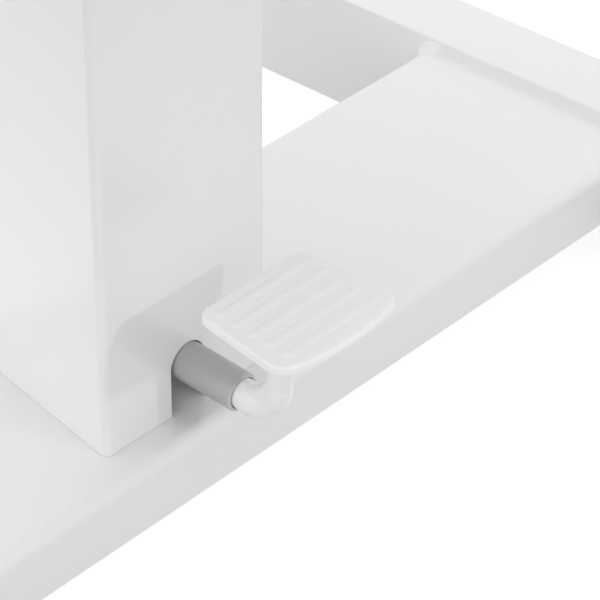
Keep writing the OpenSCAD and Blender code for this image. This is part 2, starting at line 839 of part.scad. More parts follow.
module gas_cylinder() {
    color(spring_black) difference() {
        union() {
            translate([0, 0, cylinder_bottom]) cylinder(d = cylinder_d, h = cylinder_l);
            translate([0, 0, cylinder_top])
                cylinder(d = top_stud_d, h = spring_plate_t + spring_nut_h + thread_over);
        }
        translate([0, 0, cylinder_bottom - cut])
            cylinder(d = cylinder_bore, h = cylinder_l - cylinder_cap + cut);
    }
}

module rod_gland() {
    color(zinc) translate([0, 0, cylinder_bottom]) difference() {
        cylinder(d = cylinder_bore - 2 * run, h = gland_l);
        translate([0, 0, -cut]) cylinder(d = rod_d + 2 * run, h = gland_l + 2 * cut);
    }
}

// Plate welded inside the sliding column, which the gas spring pushes up
module spring_plate() {
    color(zinc) translate([0, 0, cylinder_top]) difference() {
        linear_extrude(spring_plate_t)
            column_outline(inner_inset + inner_wall + fit, inner_corner_r - inner_wall);
        translate([0, 0, -cut]) cylinder(d = top_stud_d + 2 * fit, h = spring_plate_t + 2 * cut);
    }
}

module spring_nut() {
    color(zinc) translate([0, 0, cylinder_top + spring_plate_t])
        hex_nut(top_nut_af, spring_nut_h, top_stud_d + 2 * fit);
}

module at_plate_bolts() {
    for (sx = [-1, 1], sy = [-1, 1]) translate([sx * plate_bolt_x, sy * frame_pitch / 2, 0]) children();
}

module seat_plate() {
    color(powder_white) translate([0, 0, seat_plate_z]) difference() {
        linear_extrude(seat_plate_t) round_rect(seat_plate_w, seat_plate_d, seat_plate_r);
        at_plate_bolts() translate([0, 0, -cut])
            cylinder(d = bolt_d + 2 * bolt_clear, h = seat_plate_t + 2 * cut);
    }
}

// Rubber buffers under the seat plate, which land on the collar's rim
module stop_buffers() {
    y = column_d / 2 - inner_inset / 2;
    color(rubber_grey) for (sx = [-1, 1], sy = [-1, 1])
        translate([sx * buffer_x, sy * y, seat_plate_z - buffer_h]) cylinder(d = buffer_d, h = buffer_h);
}

module plate_bolts() {
    color(zinc) at_plate_bolts() translate([0, 0, seat_plate_z])
        hex_bolt(bolt_d, nut_af_8, column_bolt_head, seat_plate_t + frame_wall + nut_h_8 + thread_over);
}

module plate_nuts() {
    color(zinc) at_plate_bolts() translate([0, 0, frame_z + frame_wall])
        hex_nut(nut_af_8, nut_h_8, bolt_d + 2 * fit);
}

module at_seat_screws() {
    for (sx = [-1, 1]) translate([sx * seat_screw_x, 0, 0]) children();
}

// Long tube of the seat frame at the front or the rear
module long_tube(side) {
    color(powder_white) difference() {
        translate([-frame_l / 2, side * frame_pitch / 2, frame_mid]) rotate([90, 0, 90]) square_tube(frame_l);
        at_plate_bolts() translate([0, 0, frame_z - cut])
            cylinder(d = bolt_d + 2 * bolt_clear, h = frame_wall + 2 * cut);
        at_seat_screws() translate([0, side * frame_pitch / 2, frame_z - cut])
            cylinder(d = screw_d + 2 * bolt_clear, h = frame_s + 2 * cut);
    }
}

module end_tube(side) {
    l = frame_pitch - frame_s;
    color(powder_white) translate([side * (frame_l - frame_s) / 2, l / 2, frame_mid])
        rotate([90, 0, 0]) square_tube(l);
}

module seat_corner() {
    r = seat_corner_r - seat_edge_r;
    for (z = [seat_edge_r, seat_t - seat_edge_r]) translate([0, 0, z])
        rotate_extrude($fn = 32) translate([r, 0]) circle(r = seat_edge_r, $fn = 16);
}

module at_hand_holds() {
    for (sx = [-1, 1]) translate([sx * hold_x, 0, 0]) children();
}

// Seat: a moulded tray with a ribbed underside, drain holes and a hand hold at each end
module seat_board() {
    pocket_h = seat_t - seat_skin;
    inner_w = seat_w - 2 * rim_t;
    inner_d = seat_d - 2 * rim_t;
    color(moulded_white) translate([0, 0, seat_z]) difference() {
        union() {
            difference() {
                hull() for (sx = [-1, 1], sy = [-1, 1])
                    translate([sx * (seat_w / 2 - seat_corner_r), sy * (seat_d / 2 - seat_corner_r), 0])
                        seat_corner();
                translate([0, 0, -cut]) linear_extrude(pocket_h + cut)
                    round_rect(inner_w, inner_d, seat_corner_r - rim_t);
            }
            for (i = [-rib_count_x : rib_count_x]) translate([i * rib_pitch_x - rib_t / 2, -inner_d / 2, 0])
                cube([rib_t, inner_d, pocket_h + cut]);
            for (i = [-rib_count_y : rib_count_y]) translate([-inner_w / 2, i * rib_pitch_y - rib_t / 2, 0])
                cube([inner_w, rib_t, pocket_h + cut]);
            for (sy = [-1, 1]) at_seat_screws() translate([0, sy * frame_pitch / 2, 0])
                cylinder(d = boss_d, h = pocket_h + cut);
            at_hand_holds() linear_extrude(pocket_h + cut)
                round_rect(hold_w + 2 * hold_wall, hold_l + 2 * hold_wall, hold_r + hold_wall);
        }
        at_hand_holds() translate([0, 0, -cut]) linear_extrude(seat_t + 2 * cut)
            round_rect(hold_w, hold_l, hold_r);
        for (sy = [-1, 1]) at_seat_screws() translate([0, sy * frame_pitch / 2, -cut])
            cylinder(d = screw_d + 2 * fit, h = pocket_h + cut);
        for (sx = [-1, 1], sy = [-1, 1], i = [1 : drain_count_x], j = [1 : drain_count_y])
            translate([sx * (i - 0.5) * rib_pitch_x, sy * (j - 0.5) * rib_pitch_y, pocket_h - cut])
                cylinder(d = drain_d, h = seat_skin + 2 * cut);
    }
}

module seat_screws() {
    color(zinc) for (sy = [-1, 1]) at_seat_screws() translate([0, sy * frame_pitch / 2, frame_z]) {
        translate([0, 0, -screw_head_h]) cylinder(d = screw_head_d, h = screw_head_h);
        cylinder(d = screw_d, h = frame_s + seat_screw_in);
    }
}

// Frame of the back's uprights: its z axis runs up the tubes, from the top of their bends
module upright_frame() {
    translate([0, upright_y, upright_z]) children();
}

module at_panel_screws(x) {
    for (dz = [-1, 1]) translate([x, 0, upright_l - panel_h / 2 + dz * panel_screw_z]) children();
}

// Solid form of a back tube of diameter d, longer at both ends by over
module back_form(d, over) {
    start = frame_pitch / 2 + frame_s / 2;
    translate([0, 0, frame_mid]) bar_y(d, start - over, back_bend_y);
    translate([0, back_bend_y, frame_mid + tube_bend_r]) rotate([0, 90, 0])
        rotate_extrude(angle = 90) translate([tube_bend_r, 0]) circle(d = d);
    upright_frame() cylinder(d = d, h = upright_l + over);
}

module back_tube(side) {
    color(lever_grey) translate([side * back_pitch / 2, 0, 0]) difference() {
        back_form(back_d, 0);
        back_form(back_d - 2 * back_wall, cut);
        upright_frame() at_panel_screws(0) bar_y(screw_d + 2 * fit, -back_d, back_d);
    }
}

module back_plugs() {
    color(moulded_white) for (sx = [-1, 1]) translate([sx * back_pitch / 2, 0, 0]) upright_frame()
        translate([0, 0, upright_l]) {
            translate([0, 0, -plug_in]) cylinder(d = back_d - 2 * back_wall - 2 * fit, h = plug_in);
            cylinder(d = back_d, h = plug_t);
        }
}

// Back panel: a curved moulding with rounded edges and corners
module back_panel() {
    mid_z = upright_l - panel_h / 2;
    color(moulded_white) upright_frame() difference() {
        intersection() {
            translate([0, panel_centre_y, mid_z]) rotate([0, 0, 90 - panel_half_turn])
                rotate_extrude(angle = 2 * panel_half_turn, $fn = 96)
                    translate([panel_curve_r, 0]) round_rect(panel_t, panel_h, panel_edge_r);
            translate([0, 0, mid_z]) rotate([90, 0, 0]) linear_extrude(panel_curve_r)
                round_rect(panel_w, panel_h, panel_corner_r);
        }
        for (sx = [-1, 1]) at_panel_screws(sx * back_pitch / 2)
            bar_y(screw_d + 2 * fit, -back_d / 2 - panel_screw_in, 0);
    }
}

module back_screws() {
    color(zinc) upright_frame() for (sx = [-1, 1]) at_panel_screws(sx * back_pitch / 2) {
        bar_y(screw_d, -back_d / 2 - panel_screw_in + thread_over, back_d / 2);
        bar_y(screw_head_d, back_d / 2, back_d / 2 + screw_head_h);
    }
}

// Sockets for the hand rail at one end of the seat: a bar in each long tube and an upright sleeve
module arm_sockets(side) {
    w = frame_in - 2 * fit;
    bore = arm_d + 2 * fit;
    sleeve_d = bore + 2 * socket_wall;
    color(powder_white) for (sy = [-1, 1]) mirror([side > 0 ? 0 : 1, 0, 0]) translate([0, sy * arm_y, 0])
        difference() {
            union() {
                translate([frame_l / 2 - socket_bar_in, 0, frame_mid]) rotate([90, 0, 90])
                    linear_extrude(arm_x - frame_l / 2 + socket_bar_in) round_rect(w, w, small_r);
                translate([arm_x, 0, socket_bottom]) cylinder(d = sleeve_d, h = socket_h);
            }
            translate([arm_x, 0, socket_bottom + socket_floor]) cylinder(d = bore, h = socket_h);
            translate([arm_x, 0, knob_z]) bar_x(screw_d + 2 * fit, 0, sleeve_d);
        }
}

// Solid form of the hand rail, an arch in an upright plane
module arm_form(d, over) {
    leg_top = arm_top - tube_bend_r;
    leg_bottom = socket_bottom + socket_floor;
    span = arm_y - tube_bend_r;
    for (sy = [-1, 1]) {
        translate([0, sy * arm_y, leg_bottom - over]) cylinder(d = d, h = leg_top - leg_bottom + over);
        translate([0, sy * span, leg_top]) rotate([0, -90, 0]) rotate([0, 0, sy > 0 ? 0 : -90])
            rotate_extrude(angle = 90) translate([tube_bend_r, 0]) circle(d = d);
    }
    translate([0, 0, arm_top]) bar_y(d, -span, span);
}

module arm_rail() {
    color(lever_grey) translate([arm_x, 0, 0]) difference() {
        arm_form(arm_d, 0);
        arm_form(arm_d - 2 * arm_wall, cut);
    }
}

module arm_grip() {
    color(rubber_grey) translate([arm_x, 0, arm_top]) difference() {
        bar_y(arm_d + 2 * grip_wall, -grip_l / 2, grip_l / 2);
        bar_y(arm_d + 2 * fit, -grip_l / 2 - cut, grip_l / 2 + cut);
    }
}

// Clamp knobs whose screws press the hand rail in its sockets
module arm_knobs() {
    face = arm_x + arm_d / 2 + socket_wall + fit;
    color(rubber_grey) for (sx = [0, 1], sy = [-1, 1]) mirror([sx, 0, 0]) translate([0, sy * arm_y, knob_z]) {
        bar_x(screw_d, arm_x + arm_d / 2 + fit, face + knob_gap);
        bar_x(knob_neck_d, face + stop_gap, face + knob_gap + cut);
        bar_x(knob_d, face + knob_gap, face + knob_gap + knob_l);
    }
}

cross_beam();
side_rail(-1);  // left_rail
side_rail(1);  // right_rail
rail_cap(-1, -1);  // front_left_cap
rail_cap(1, -1);  // front_right_cap
rail_cap(-1, 1);  // rear_left_cap
rail_cap(1, 1);  // rear_right_cap
rubber_foot(-1, -1);  // front_left_foot
rubber_foot(1, -1);  // front_right_foot
rubber_foot(-1, 1);  // rear_left_foot
rubber_foot(1, 1);  // rear_right_foot
end_tube(-1);  // left_end_tube
end_tube(1);  // right_end_tube
long_tube(-1);  // front_frame_tube
long_tube(1);  // rear_frame_tube
back_tube(-1);  // left_back_tube
back_tube(1);  // right_back_tube
foot_studs();
foot_nuts();
beam_stiffener();
column_bolts();
column_foot_plate();
outer_column();
guide_collar();
release_bracket();
bracket_screws();
pivot_pin();
pivot_clip();
pivot_bushes();
rod_nuts();
gas_rod();
gas_piston();
piston_ring();
release_pin();
lever_tube();
rocker_arm();
rocker_rivet();
pedal_pad();
stem_rivet();
inner_column();
lower_glide();
gas_cylinder();
rod_gland();
spring_plate();
spring_nut();
seat_plate();
stop_buffers();
plate_bolts();
plate_nuts();
seat_board();
seat_screws();
back_plugs();
back_panel();
back_screws();
arm_sockets(-1);  // left_arm_sockets
arm_sockets(1);  // right_arm_sockets
arm_rail();
arm_grip();
arm_knobs();
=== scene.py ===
# Bath bench on a pedestal with a foot pedal: the finish of every piece, in metres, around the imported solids.
import json
import math

import bmesh
import bpy
from mathutils import Matrix, Vector


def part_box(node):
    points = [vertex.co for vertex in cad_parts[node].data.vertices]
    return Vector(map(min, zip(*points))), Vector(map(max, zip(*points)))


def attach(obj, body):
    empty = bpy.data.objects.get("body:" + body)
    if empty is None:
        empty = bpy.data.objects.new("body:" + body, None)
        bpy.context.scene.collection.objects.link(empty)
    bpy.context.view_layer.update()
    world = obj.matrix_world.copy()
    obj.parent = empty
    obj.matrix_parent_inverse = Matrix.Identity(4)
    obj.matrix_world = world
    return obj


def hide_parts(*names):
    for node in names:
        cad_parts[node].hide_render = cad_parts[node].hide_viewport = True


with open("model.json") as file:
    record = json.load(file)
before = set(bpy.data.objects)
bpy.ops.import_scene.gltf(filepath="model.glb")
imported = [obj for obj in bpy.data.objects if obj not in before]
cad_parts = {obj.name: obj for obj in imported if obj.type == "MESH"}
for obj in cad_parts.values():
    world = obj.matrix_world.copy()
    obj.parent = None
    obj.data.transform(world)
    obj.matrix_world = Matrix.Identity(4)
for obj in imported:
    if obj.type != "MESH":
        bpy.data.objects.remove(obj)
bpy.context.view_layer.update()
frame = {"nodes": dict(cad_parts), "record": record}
scene = bpy.context.scene


# Cross beam: one wide steel sheet pressed into a shallow channel, with a soft bend along each long edge.
# It is powder coated gloss white, and its ends are welded to the inner sides of the two rails.

def shader_group(name, inputs, outputs):
    """An empty shader node group with named sockets, and its input and output nodes."""
    tree = bpy.data.node_groups.new(name, "ShaderNodeTree")
    for label, kind, value in inputs:
        socket = tree.interface.new_socket(label, in_out="INPUT", socket_type=kind)
        socket.default_value = value
    for label, kind in outputs:
        tree.interface.new_socket(label, in_out="OUTPUT", socket_type=kind)
    return tree, tree.nodes.new("NodeGroupInput"), tree.nodes.new("NodeGroupOutput")


def math_node(tree, operation, *values):
    """The result of a maths node; each value is a number or another node's output."""
    node = tree.nodes.new("ShaderNodeMath")
    node.operation = operation
    for socket, value in zip(node.inputs, values):
        if isinstance(value, (int, float)):
            socket.default_value = value
        else:
            tree.links.new(value, socket)
    return node.outputs[0]


def surface_drift_group():
    """Slow changes of tone and gloss over a surface, as on any coated or moulded piece."""
    tree, given, result = shader_group(
        "surface_drift",
        [("Colour", "NodeSocketColor", (0.8, 0.8, 0.8, 1)), ("Tone drift", "NodeSocketFloat", 0.03),
         ("Roughness", "NodeSocketFloat", 0.4), ("Gloss drift", "NodeSocketFloat", 0.1),
         ("Scale", "NodeSocketFloat", 8.0)],
        [("Colour", "NodeSocketColor"), ("Roughness", "NodeSocketFloat")])
    place = tree.nodes.new("ShaderNodeTexCoord")
    tone = tree.nodes.new("ShaderNodeTexNoise")
    tone.inputs["Detail"].default_value = 6.0
    tone.inputs["Roughness"].default_value = 0.65
    tree.links.new(place.outputs["Object"], tone.inputs["Vector"])
    tree.links.new(given.outputs["Scale"], tone.inputs["Scale"])
    centred = math_node(tree, "SUBTRACT", tone.outputs["Fac"], 0.5)
    value = math_node(tree, "MULTIPLY_ADD", centred, given.outputs["Tone drift"], 1.0)
    tint = tree.nodes.new("ShaderNodeHueSaturation")
    tree.links.new(given.outputs["Colour"], tint.inputs["Color"])
    tree.links.new(value, tint.inputs["Value"])
    tree.links.new(tint.outputs["Color"], result.inputs["Colour"])
    gloss = math_node(tree, "MULTIPLY_ADD", centred, given.outputs["Gloss drift"], given.outputs["Roughness"])
    tree.links.new(gloss, result.inputs["Roughness"])
    return tree


def fine_relief_group():
    """Height of a fine relief: the orange peel of a coat, the grain of a mould or drawn grinding lines."""
    tree, given, result = shader_group(
        "fine_relief",
        [("Scale", "NodeSocketFloat", 600.0), ("Grain", "NodeSocketFloat", 0.3),
         ("Stretch", "NodeSocketVector", (1, 1, 1))],
        [("Height", "NodeSocketFloat")])
    place = tree.nodes.new("ShaderNodeTexCoord")
    drawn = tree.nodes.new("ShaderNodeVectorMath")
    drawn.operation = "MULTIPLY"
    tree.links.new(place.outputs["Object"], drawn.inputs[0])
    tree.links.new(given.outputs["Stretch"], drawn.inputs[1])
    soft = tree.nodes.new("ShaderNodeTexNoise")
    soft.inputs["Detail"].default_value = 1.0
    tree.links.new(drawn.outputs["Vector"], soft.inputs["Vector"])
    tree.links.new(given.outputs["Scale"], soft.inputs["Scale"])
    finer = math_node(tree, "MULTIPLY", given.outputs["Scale"], 3.7)
    grain = tree.nodes.new("ShaderNodeTexNoise")
    grain.inputs["Detail"].default_value = 2.0
    tree.links.new(drawn.outputs["Vector"], grain.inputs["Vector"])
    tree.links.new(finer, grain.inputs["Scale"])
    mixed = tree.nodes.new("ShaderNodeMix")
    tree.links.new(given.outputs["Grain"], mixed.inputs["Factor"])
    tree.links.new(soft.outputs["Fac"], mixed.inputs["A"])
    tree.links.new(grain.outputs["Fac"], mixed.inputs["B"])
    tree.links.new(mixed.outputs["Result"], result.inputs["Height"])
    return tree


surface_drift = surface_drift_group()
fine_relief = fine_relief_group()


def finish(name, colour, rough, relief_scale, relief_depth, tone_drift=0.03, gloss_drift=0.08, grain=0.3,
           metallic=0.0, drift_scale=7.0, stretch=(1, 1, 1), coat=0.0):
    """A material of its own colour, gloss and relief, with the shared drift and relief in it."""
    material = bpy.data.materials.new(name)
    material.use_nodes = True
    nodes, links = material.node_tree.nodes, material.node_tree.links
    shader = nodes["Principled BSDF"]
    shader.inputs["Metallic"].default_value = metallic
    shader.inputs["Coat Weight"].default_value = coat
    shader.inputs["Coat Roughness"].default_value = 0.12
    drift = nodes.new("ShaderNodeGroup")
    drift.node_tree = surface_drift
    drift.inputs["Colour"].default_value = (*colour, 1)
    drift.inputs["Tone drift"].default_value = tone_drift
    drift.inputs["Roughness"].default_value = rough
    drift.inputs["Gloss drift"].default_value = gloss_drift
    drift.inputs["Scale"].default_value = drift_scale
    links.new(drift.outputs["Colour"], shader.inputs["Base Color"])
    links.new(drift.outputs["Roughness"], shader.inputs["Roughness"])
    relief = nodes.new("ShaderNodeGroup")
    relief.node_tree = fine_relief
    relief.inputs["Scale"].default_value = relief_scale
    relief.inputs["Grain"].default_value = grain
    relief.inputs["Stretch"].default_value = stretch
    bump = nodes.new("ShaderNodeBump")
    bump.inputs["Strength"].default_value = 1.0
    bump.inputs["Distance"].default_value = relief_depth
    links.new(relief.outputs["Height"], bump.inputs["Height"])
    links.new(bump.outputs["Normal"], shader.inputs["Normal"])
    return material


powder_white = finish("powder_white", (0.86, 0.86, 0.865), 0.33, 420.0, 0.000025, tone_drift=0.015, coat=0.3)


def arc(centre, radius, start, end, steps=8):
    """Points of an arc in a plane, from one angle to another in degrees."""
    turns = [math.radians(start + (end - start) * i / steps) for i in range(steps + 1)]
    return [Vector((centre[0] + radius * math.cos(t), centre[1] + radius * math.sin(t))) for t in turns]


def loft(bm, rings, cyclic=False):
    """Skins rings of equal length with quads, and closes the ends or joins the last ring to the first."""
    rows = [[bm.verts.new(p) for p in ring] for ring in rings]
    count = len(rows[0])
    pairs = list(zip(rows, rows[1:])) + ([(rows[-1], rows[0])] if cyclic else [])
    for a, b in pairs:
        for i in range(count):
            j = (i + 1) % count
            bm.faces.new((a[i], a[j], b[j], b[i]))
    if not cyclic:
        bm.faces.new(rows[0])
        bm.faces.new(rows[-1])
    bmesh.ops.recalc_face_normals(bm, faces=bm.faces)


def soften(bm, width, segments=2, angle=50.0):
    """Rounds every edge that is sharper than the angle."""
    sharp = [e for e in bm.edges if len(e.link_faces) == 2 and e.calc_face_angle(0) > math.radians(angle)]
    bmesh.ops.bevel(bm, geom=sharp, offset=width, segments=segments, profile=0.5, affect="EDGES",
                    clamp_overlap=True)


def add_piece(name, bm, material, body, slot, *nodes, smooth=35.0):
    """Turns a bmesh into a piece on a body, in place of the CAD nodes that it stands for."""
    mesh = bpy.data.meshes.new(name)
    bm.to_mesh(mesh)
    bm.free()
    return add_mesh(name, mesh, material, body, slot, *nodes, smooth=smooth)


def add_mesh(name, mesh, material, body, slot, *nodes, smooth=35.0):
    """As add_piece, from a mesh that is in place already."""
    mesh.materials.clear()
    mesh.materials.append(material)
    mesh.shade_smooth()
    mesh.set_sharp_from_angle(angle=math.radians(smooth))
    piece = bpy.data.objects.new(name, mesh)
    scene.collection.objects.link(piece)
    even = piece.modifiers.new("even_shading", "WEIGHTED_NORMAL")
    even.keep_sharp = True
    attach(piece, body)
    if nodes:
        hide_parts(*nodes)
    return piece


beam_low, beam_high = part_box("cross_beam")
beam_wall = 0.003
beam_bend_r = 0.00675
beam_half = beam_high.y
bend_y = beam_half - beam_bend_r
bend_z = beam_high.z - beam_bend_r
beam_over = ([Vector((beam_half, beam_low.z))] + arc((bend_y, bend_z), beam_bend_r, 0, 90, 10)
             + arc((-bend_y, bend_z), beam_bend_r, 90, 180, 10) + [Vector((-beam_half, beam_low.z))])
beam_under = ([Vector((beam_wall - beam_half, beam_low.z))]
              + arc((-bend_y, bend_z), beam_bend_r - beam_wall, 180, 90, 10)
              + arc((bend_y, bend_z), beam_bend_r - beam_wall, 90, 0, 10)
              + [Vector((beam_half - beam_wall, beam_low.z))])
bm = bmesh.new()
loft(bm, [[Vector((x, p.x, p.y)) for p in beam_over + beam_under] for x in (beam_low.x, beam_high.x)])
soften(bm, 0.0004)
add_piece("cross_beam_sheet", bm, powder_white, "base", "powder_white", "cross_beam")


# Weld beads where the beam's sheet meets the rails: a hollow fillet over the top and down both flanges, under
# the same white coat. It swells to a rounded lump at the bends, where the welder turns the corner.

weld_leg = 0.0024
weld_leg_bend = 0.005
weld_bend_reach = 0.006
weld_ripple = 0.07
ripple_l = 0.0072
weld_step = 0.0009
weld_steps = 8
weld_root = 0.0006
weld_fill = 0.55


def spaced(points, step, closed=False):
    """The points of a line with more of them set in, so that no two are further apart than the step."""
    dense = []
    for a, b in zip(points, points[1:] + points[:1] if closed else points[1:]):
        parts = max(1, math.ceil((b - a).length / step))
        dense += [a.lerp(b, i / parts) for i in range(parts)]
    return dense if closed else dense + [points[-1]]


for side, x in (("left", beam_low.x), ("right", beam_high.x)):
    inward = 1 if side == "left" else -1
    rings = []
    path = spaced(beam_over, weld_step)
    for i, point in enumerate(path):
        along = (path[min(i + 1, len(path) - 1)] - path[max(i - 1, 0)]).normalized()
        out = Vector((along.y, -along.x))
        off_bend = (Vector((abs(point.x), point.y)) - Vector((bend_y, bend_z))).length - beam_bend_r
        at_bend = max(0.0, 1 - abs(off_bend) / weld_bend_reach)
        at_bend *= at_bend * (3 - 2 * at_bend)
        wave = math.sin(2 * math.pi * weld_step / ripple_l * i) + math.sin(3.4 * math.pi * weld_step / ripple_l * i)
        leg = weld_leg + (weld_leg_bend - weld_leg) * at_bend + weld_leg * weld_ripple * wave * (1 - at_bend)
        ring = []
        for full, hollow in zip(arc((0, 0), leg, 0, 90, weld_steps), arc((leg, leg), leg, 270, 180, weld_steps)):
            p = hollow.lerp(full, weld_fill * at_bend)
            spot = point + out * p.x
            ring.append(Vector((x + inward * p.y, spot.x, spot.y)))
        root = point - out * weld_root
        ring.append(Vector((x + inward * leg, root.x, root.y)))
        ring.append(Vector((x, root.x, root.y)))
        rings.append(ring)
    bm = bmesh.new()
    loft(bm, rings)
    add_piece(side + "_weld_bead", bm, powder_white, "base", "powder_white", smooth=60.0)


# Side rails: rectangular steel tube with rounded corners, powder coated with the beam. They stand on the
# feet and rise a little above the beam.

def rounded_rectangle(width, depth, radius, steps=8):
    """Outline of a rectangle with round corners, about the origin."""
    x, y = width / 2 - radius, depth / 2 - radius
    return (arc((x, y), radius, 0, 90, steps) + arc((-x, y), radius, 90, 180, steps)
            + arc((-x, -y), radius, 180, 270, steps) + arc((x, -y), radius, 270, 360, steps))


def along_y(outline, y, centre):
    """The outline as a ring that faces along Y."""
    return [Vector((centre.x + p.x, y, centre.z + p.y)) for p in outline]


rail_wall = 0.0025
rail_corner_r = 0.0012
rail_bore_r = 0.0006
for side in ("left", "right"):
    low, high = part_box(side + "_rail")
    middle = (low + high) / 2
    size = high - low
    skin = rounded_rectangle(size.x, size.z, rail_corner_r)
    bore = rounded_rectangle(size.x - 2 * rail_wall, size.z - 2 * rail_wall, rail_bore_r)
    bm = bmesh.new()
    loft(bm, [along_y(skin, low.y, middle), along_y(skin, high.y, middle),
              along_y(bore, high.y, middle), along_y(bore, low.y, middle)], cyclic=True)
    add_piece(side + "_rail_tube", bm, powder_white, "base", "powder_white", side + "_rail")


# End caps: white moulded plugs pressed into the four open ends of the rails, with a rounded rim that
# covers the cut edge of the tube.

cap_white = finish("cap_white", (0.84, 0.84, 0.85), 0.38, 900.0, 0.00002)
cap_plate = 0.004
cap_edge = 0.0011
cap_plug_gap = 0.0001
cap_plug_wall = 0.0025
cap_hollow_r = 0.0005
for end, way in (("front", -1), ("rear", 1)):
    for side in ("left", "right"):
        node = f"{end}_{side}_cap"
        low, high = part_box(node)
        middle = (low + high) / 2
        size = high - low
        tip = high.y if way > 0 else low.y
        plug_end = low.y if way > 0 else high.y
        face = tip - way * cap_plate
        inset = rail_wall + cap_plug_gap
        plug = rounded_rectangle(size.x - 2 * inset, size.z - 2 * inset, rail_bore_r)
        hollow_inset = inset + cap_plug_wall
        hollow = rounded_rectangle(size.x - 2 * hollow_inset, size.z - 2 * hollow_inset, cap_hollow_r)
        rings = [along_y(hollow, face, middle), along_y(hollow, plug_end, middle),
                 along_y(plug, plug_end, middle), along_y(plug, face, middle)]
        for turn in arc((0, 0), cap_edge, 0, 90, 5):
            drawn_in = cap_edge - turn.x
            rim = rounded_rectangle(size.x - 2 * drawn_in, size.z - 2 * drawn_in, rail_corner_r - drawn_in)
            if not drawn_in:
                rings.append(along_y(rim, face, middle))
            rings.append(along_y(rim, tip - way * (cap_edge - turn.y), middle))
        bm = bmesh.new()
        loft(bm, rings)
        add_piece(f"{end}_{side}_end_cap", bm, cap_white, "base", "cap_white", node)


# Feet: turned rubber pads that screw up into the rails on steel studs. The ring grooves underneath keep
# them from slipping on a wet floor.

rubber = finish("rubber", (0.035, 0.035, 0.037), 0.72, 1400.0, 0.00004, tone_drift=0.2, grain=0.6)


def turned(profile, place, segments=48):
    """Rings of a profile of radius and height about an axis; a third value gives a plan other than a circle."""
    rings = []
    for radius, height, *plan in profile:
        ring = []
        for i in range(segments):
            turn = 2 * math.pi * i / segments
            reach = radius * (plan[0](turn) if plan else 1)
            ring.append(place @ Vector((reach * math.cos(turn), reach * math.sin(turn), height)))
        rings.append(ring)
    return rings


foot_edge = 0.0015
foot_neck_in = 0.003
foot_lip_h = 0.004
foot_neck_h = 0.007
tread_depth = 0.0008
tread_radii = (0.004, 0.0075, 0.011)
tread_half = 0.0009
for end in ("front", "rear"):
    for side in ("left", "right"):
        node = f"{end}_{side}_foot"
        low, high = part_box(node)
        middle = (low + high) / 2
        r = (high.x - low.x) / 2
        neck = r - foot_neck_in
        profile = [(0.0005, 0)]
        for radius in tread_radii:
            profile += [(radius - tread_half, 0), (radius - tread_half, tread_depth),
                        (radius + tread_half, tread_depth), (radius + tread_half, 0)]
        profile += [(p.x, p.y) for p in arc((r - foot_edge, foot_edge), foot_edge, 270, 360, 5)]
        profile += [(r, foot_lip_h - foot_edge)]
        profile += [(p.x, p.y) for p in arc((r - foot_edge, foot_lip_h - foot_edge), foot_edge, 15, 60, 4)]
        profile += [(neck + 0.0003, foot_neck_h - 0.0006), (neck, foot_neck_h + 0.0004)]
        profile += [(neck, high.z - foot_edge)]
        profile += [(p.x, p.y) for p in arc((neck - foot_edge, high.z - foot_edge), foot_edge, 15, 90, 5)]
        profile += [(0.0005, high.z)]
        bm = bmesh.new()
        loft(bm, turned(profile, Matrix.Translation((middle.x, middle.y, 0))))
        add_piece(f"{end}_{side}_rubber_foot", bm, rubber, "base", "rubber", node)


# Outer column: folded and welded steel, a little narrower at the back than at the front, powder coated and
# bolted to the beam from below. The arched slot in its front lets the pedal's lever through.

def work_object(bm):
    """An object to put modifiers on, from a bmesh."""
    mesh = bpy.data.meshes.new("work")
    bm.to_mesh(mesh)
    bm.free()
    work = bpy.data.objects.new("work", mesh)
    scene.collection.objects.link(work)
    return work


def evaluated(obj):
    """The mesh of an object with its modifiers applied; the object is removed."""
    graph = bpy.context.evaluated_depsgraph_get()
    mesh = bpy.data.meshes.new_from_object(obj.evaluated_get(graph))
    bpy.data.objects.remove(obj)
    return mesh


def combine(body, tool, operation, tool_crosses_itself=False):
    """The body with a closed tool cut from it or joined to it."""
    work, other = work_object(body), work_object(tool)
    modifier = work.modifiers.new("combine", "BOOLEAN")
    modifier.object = other
    modifier.operation = operation
    modifier.solver = "EXACT"
    modifier.use_self = tool_crosses_itself
    result = bmesh.new()
    result.from_mesh(evaluated(work))
    bpy.data.objects.remove(other)
    return result


column_low, column_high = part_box("outer_column")
column_half_w = 0.05
column_half_d = column_high.y
column_taper = math.radians(9.9)
column_wall = 0.0025
column_corner_r = 0.0036
inside_corner_r = column_corner_r - column_wall + 0.0005
column_seam = 0.00006
slot_r = 0.0102
slot_rise = 0.0229


def column_outline(inset, radius, steps=8):
    """Plan of the column, drawn in by an inset."""
    t = column_taper
    lean = math.degrees(t)
    front = inset - column_half_d
    depth = 2 * (column_half_d - inset)
    half = column_half_w - inset * math.tan(t) - inset / math.cos(t)
    front_x = half - radius * (1 + math.sin(t)) / math.cos(t)
    back_x = half - (radius + (depth - radius) * math.sin(t)) / math.cos(t)
    front_y = front + radius
    back_y = front + depth - radius
    return (arc((front_x, front_y), radius, -90, lean, steps) + arc((back_x, back_y), radius, lean, 90, steps)
            + arc((-back_x, back_y), radius, 90, 180 - lean, steps)
            + arc((-front_x, front_y), radius, 180 - lean, 270, steps))


def at_height(outline, z):
    """The outline as a level ring."""
    return [Vector((p.x, p.y, z)) for p in outline]


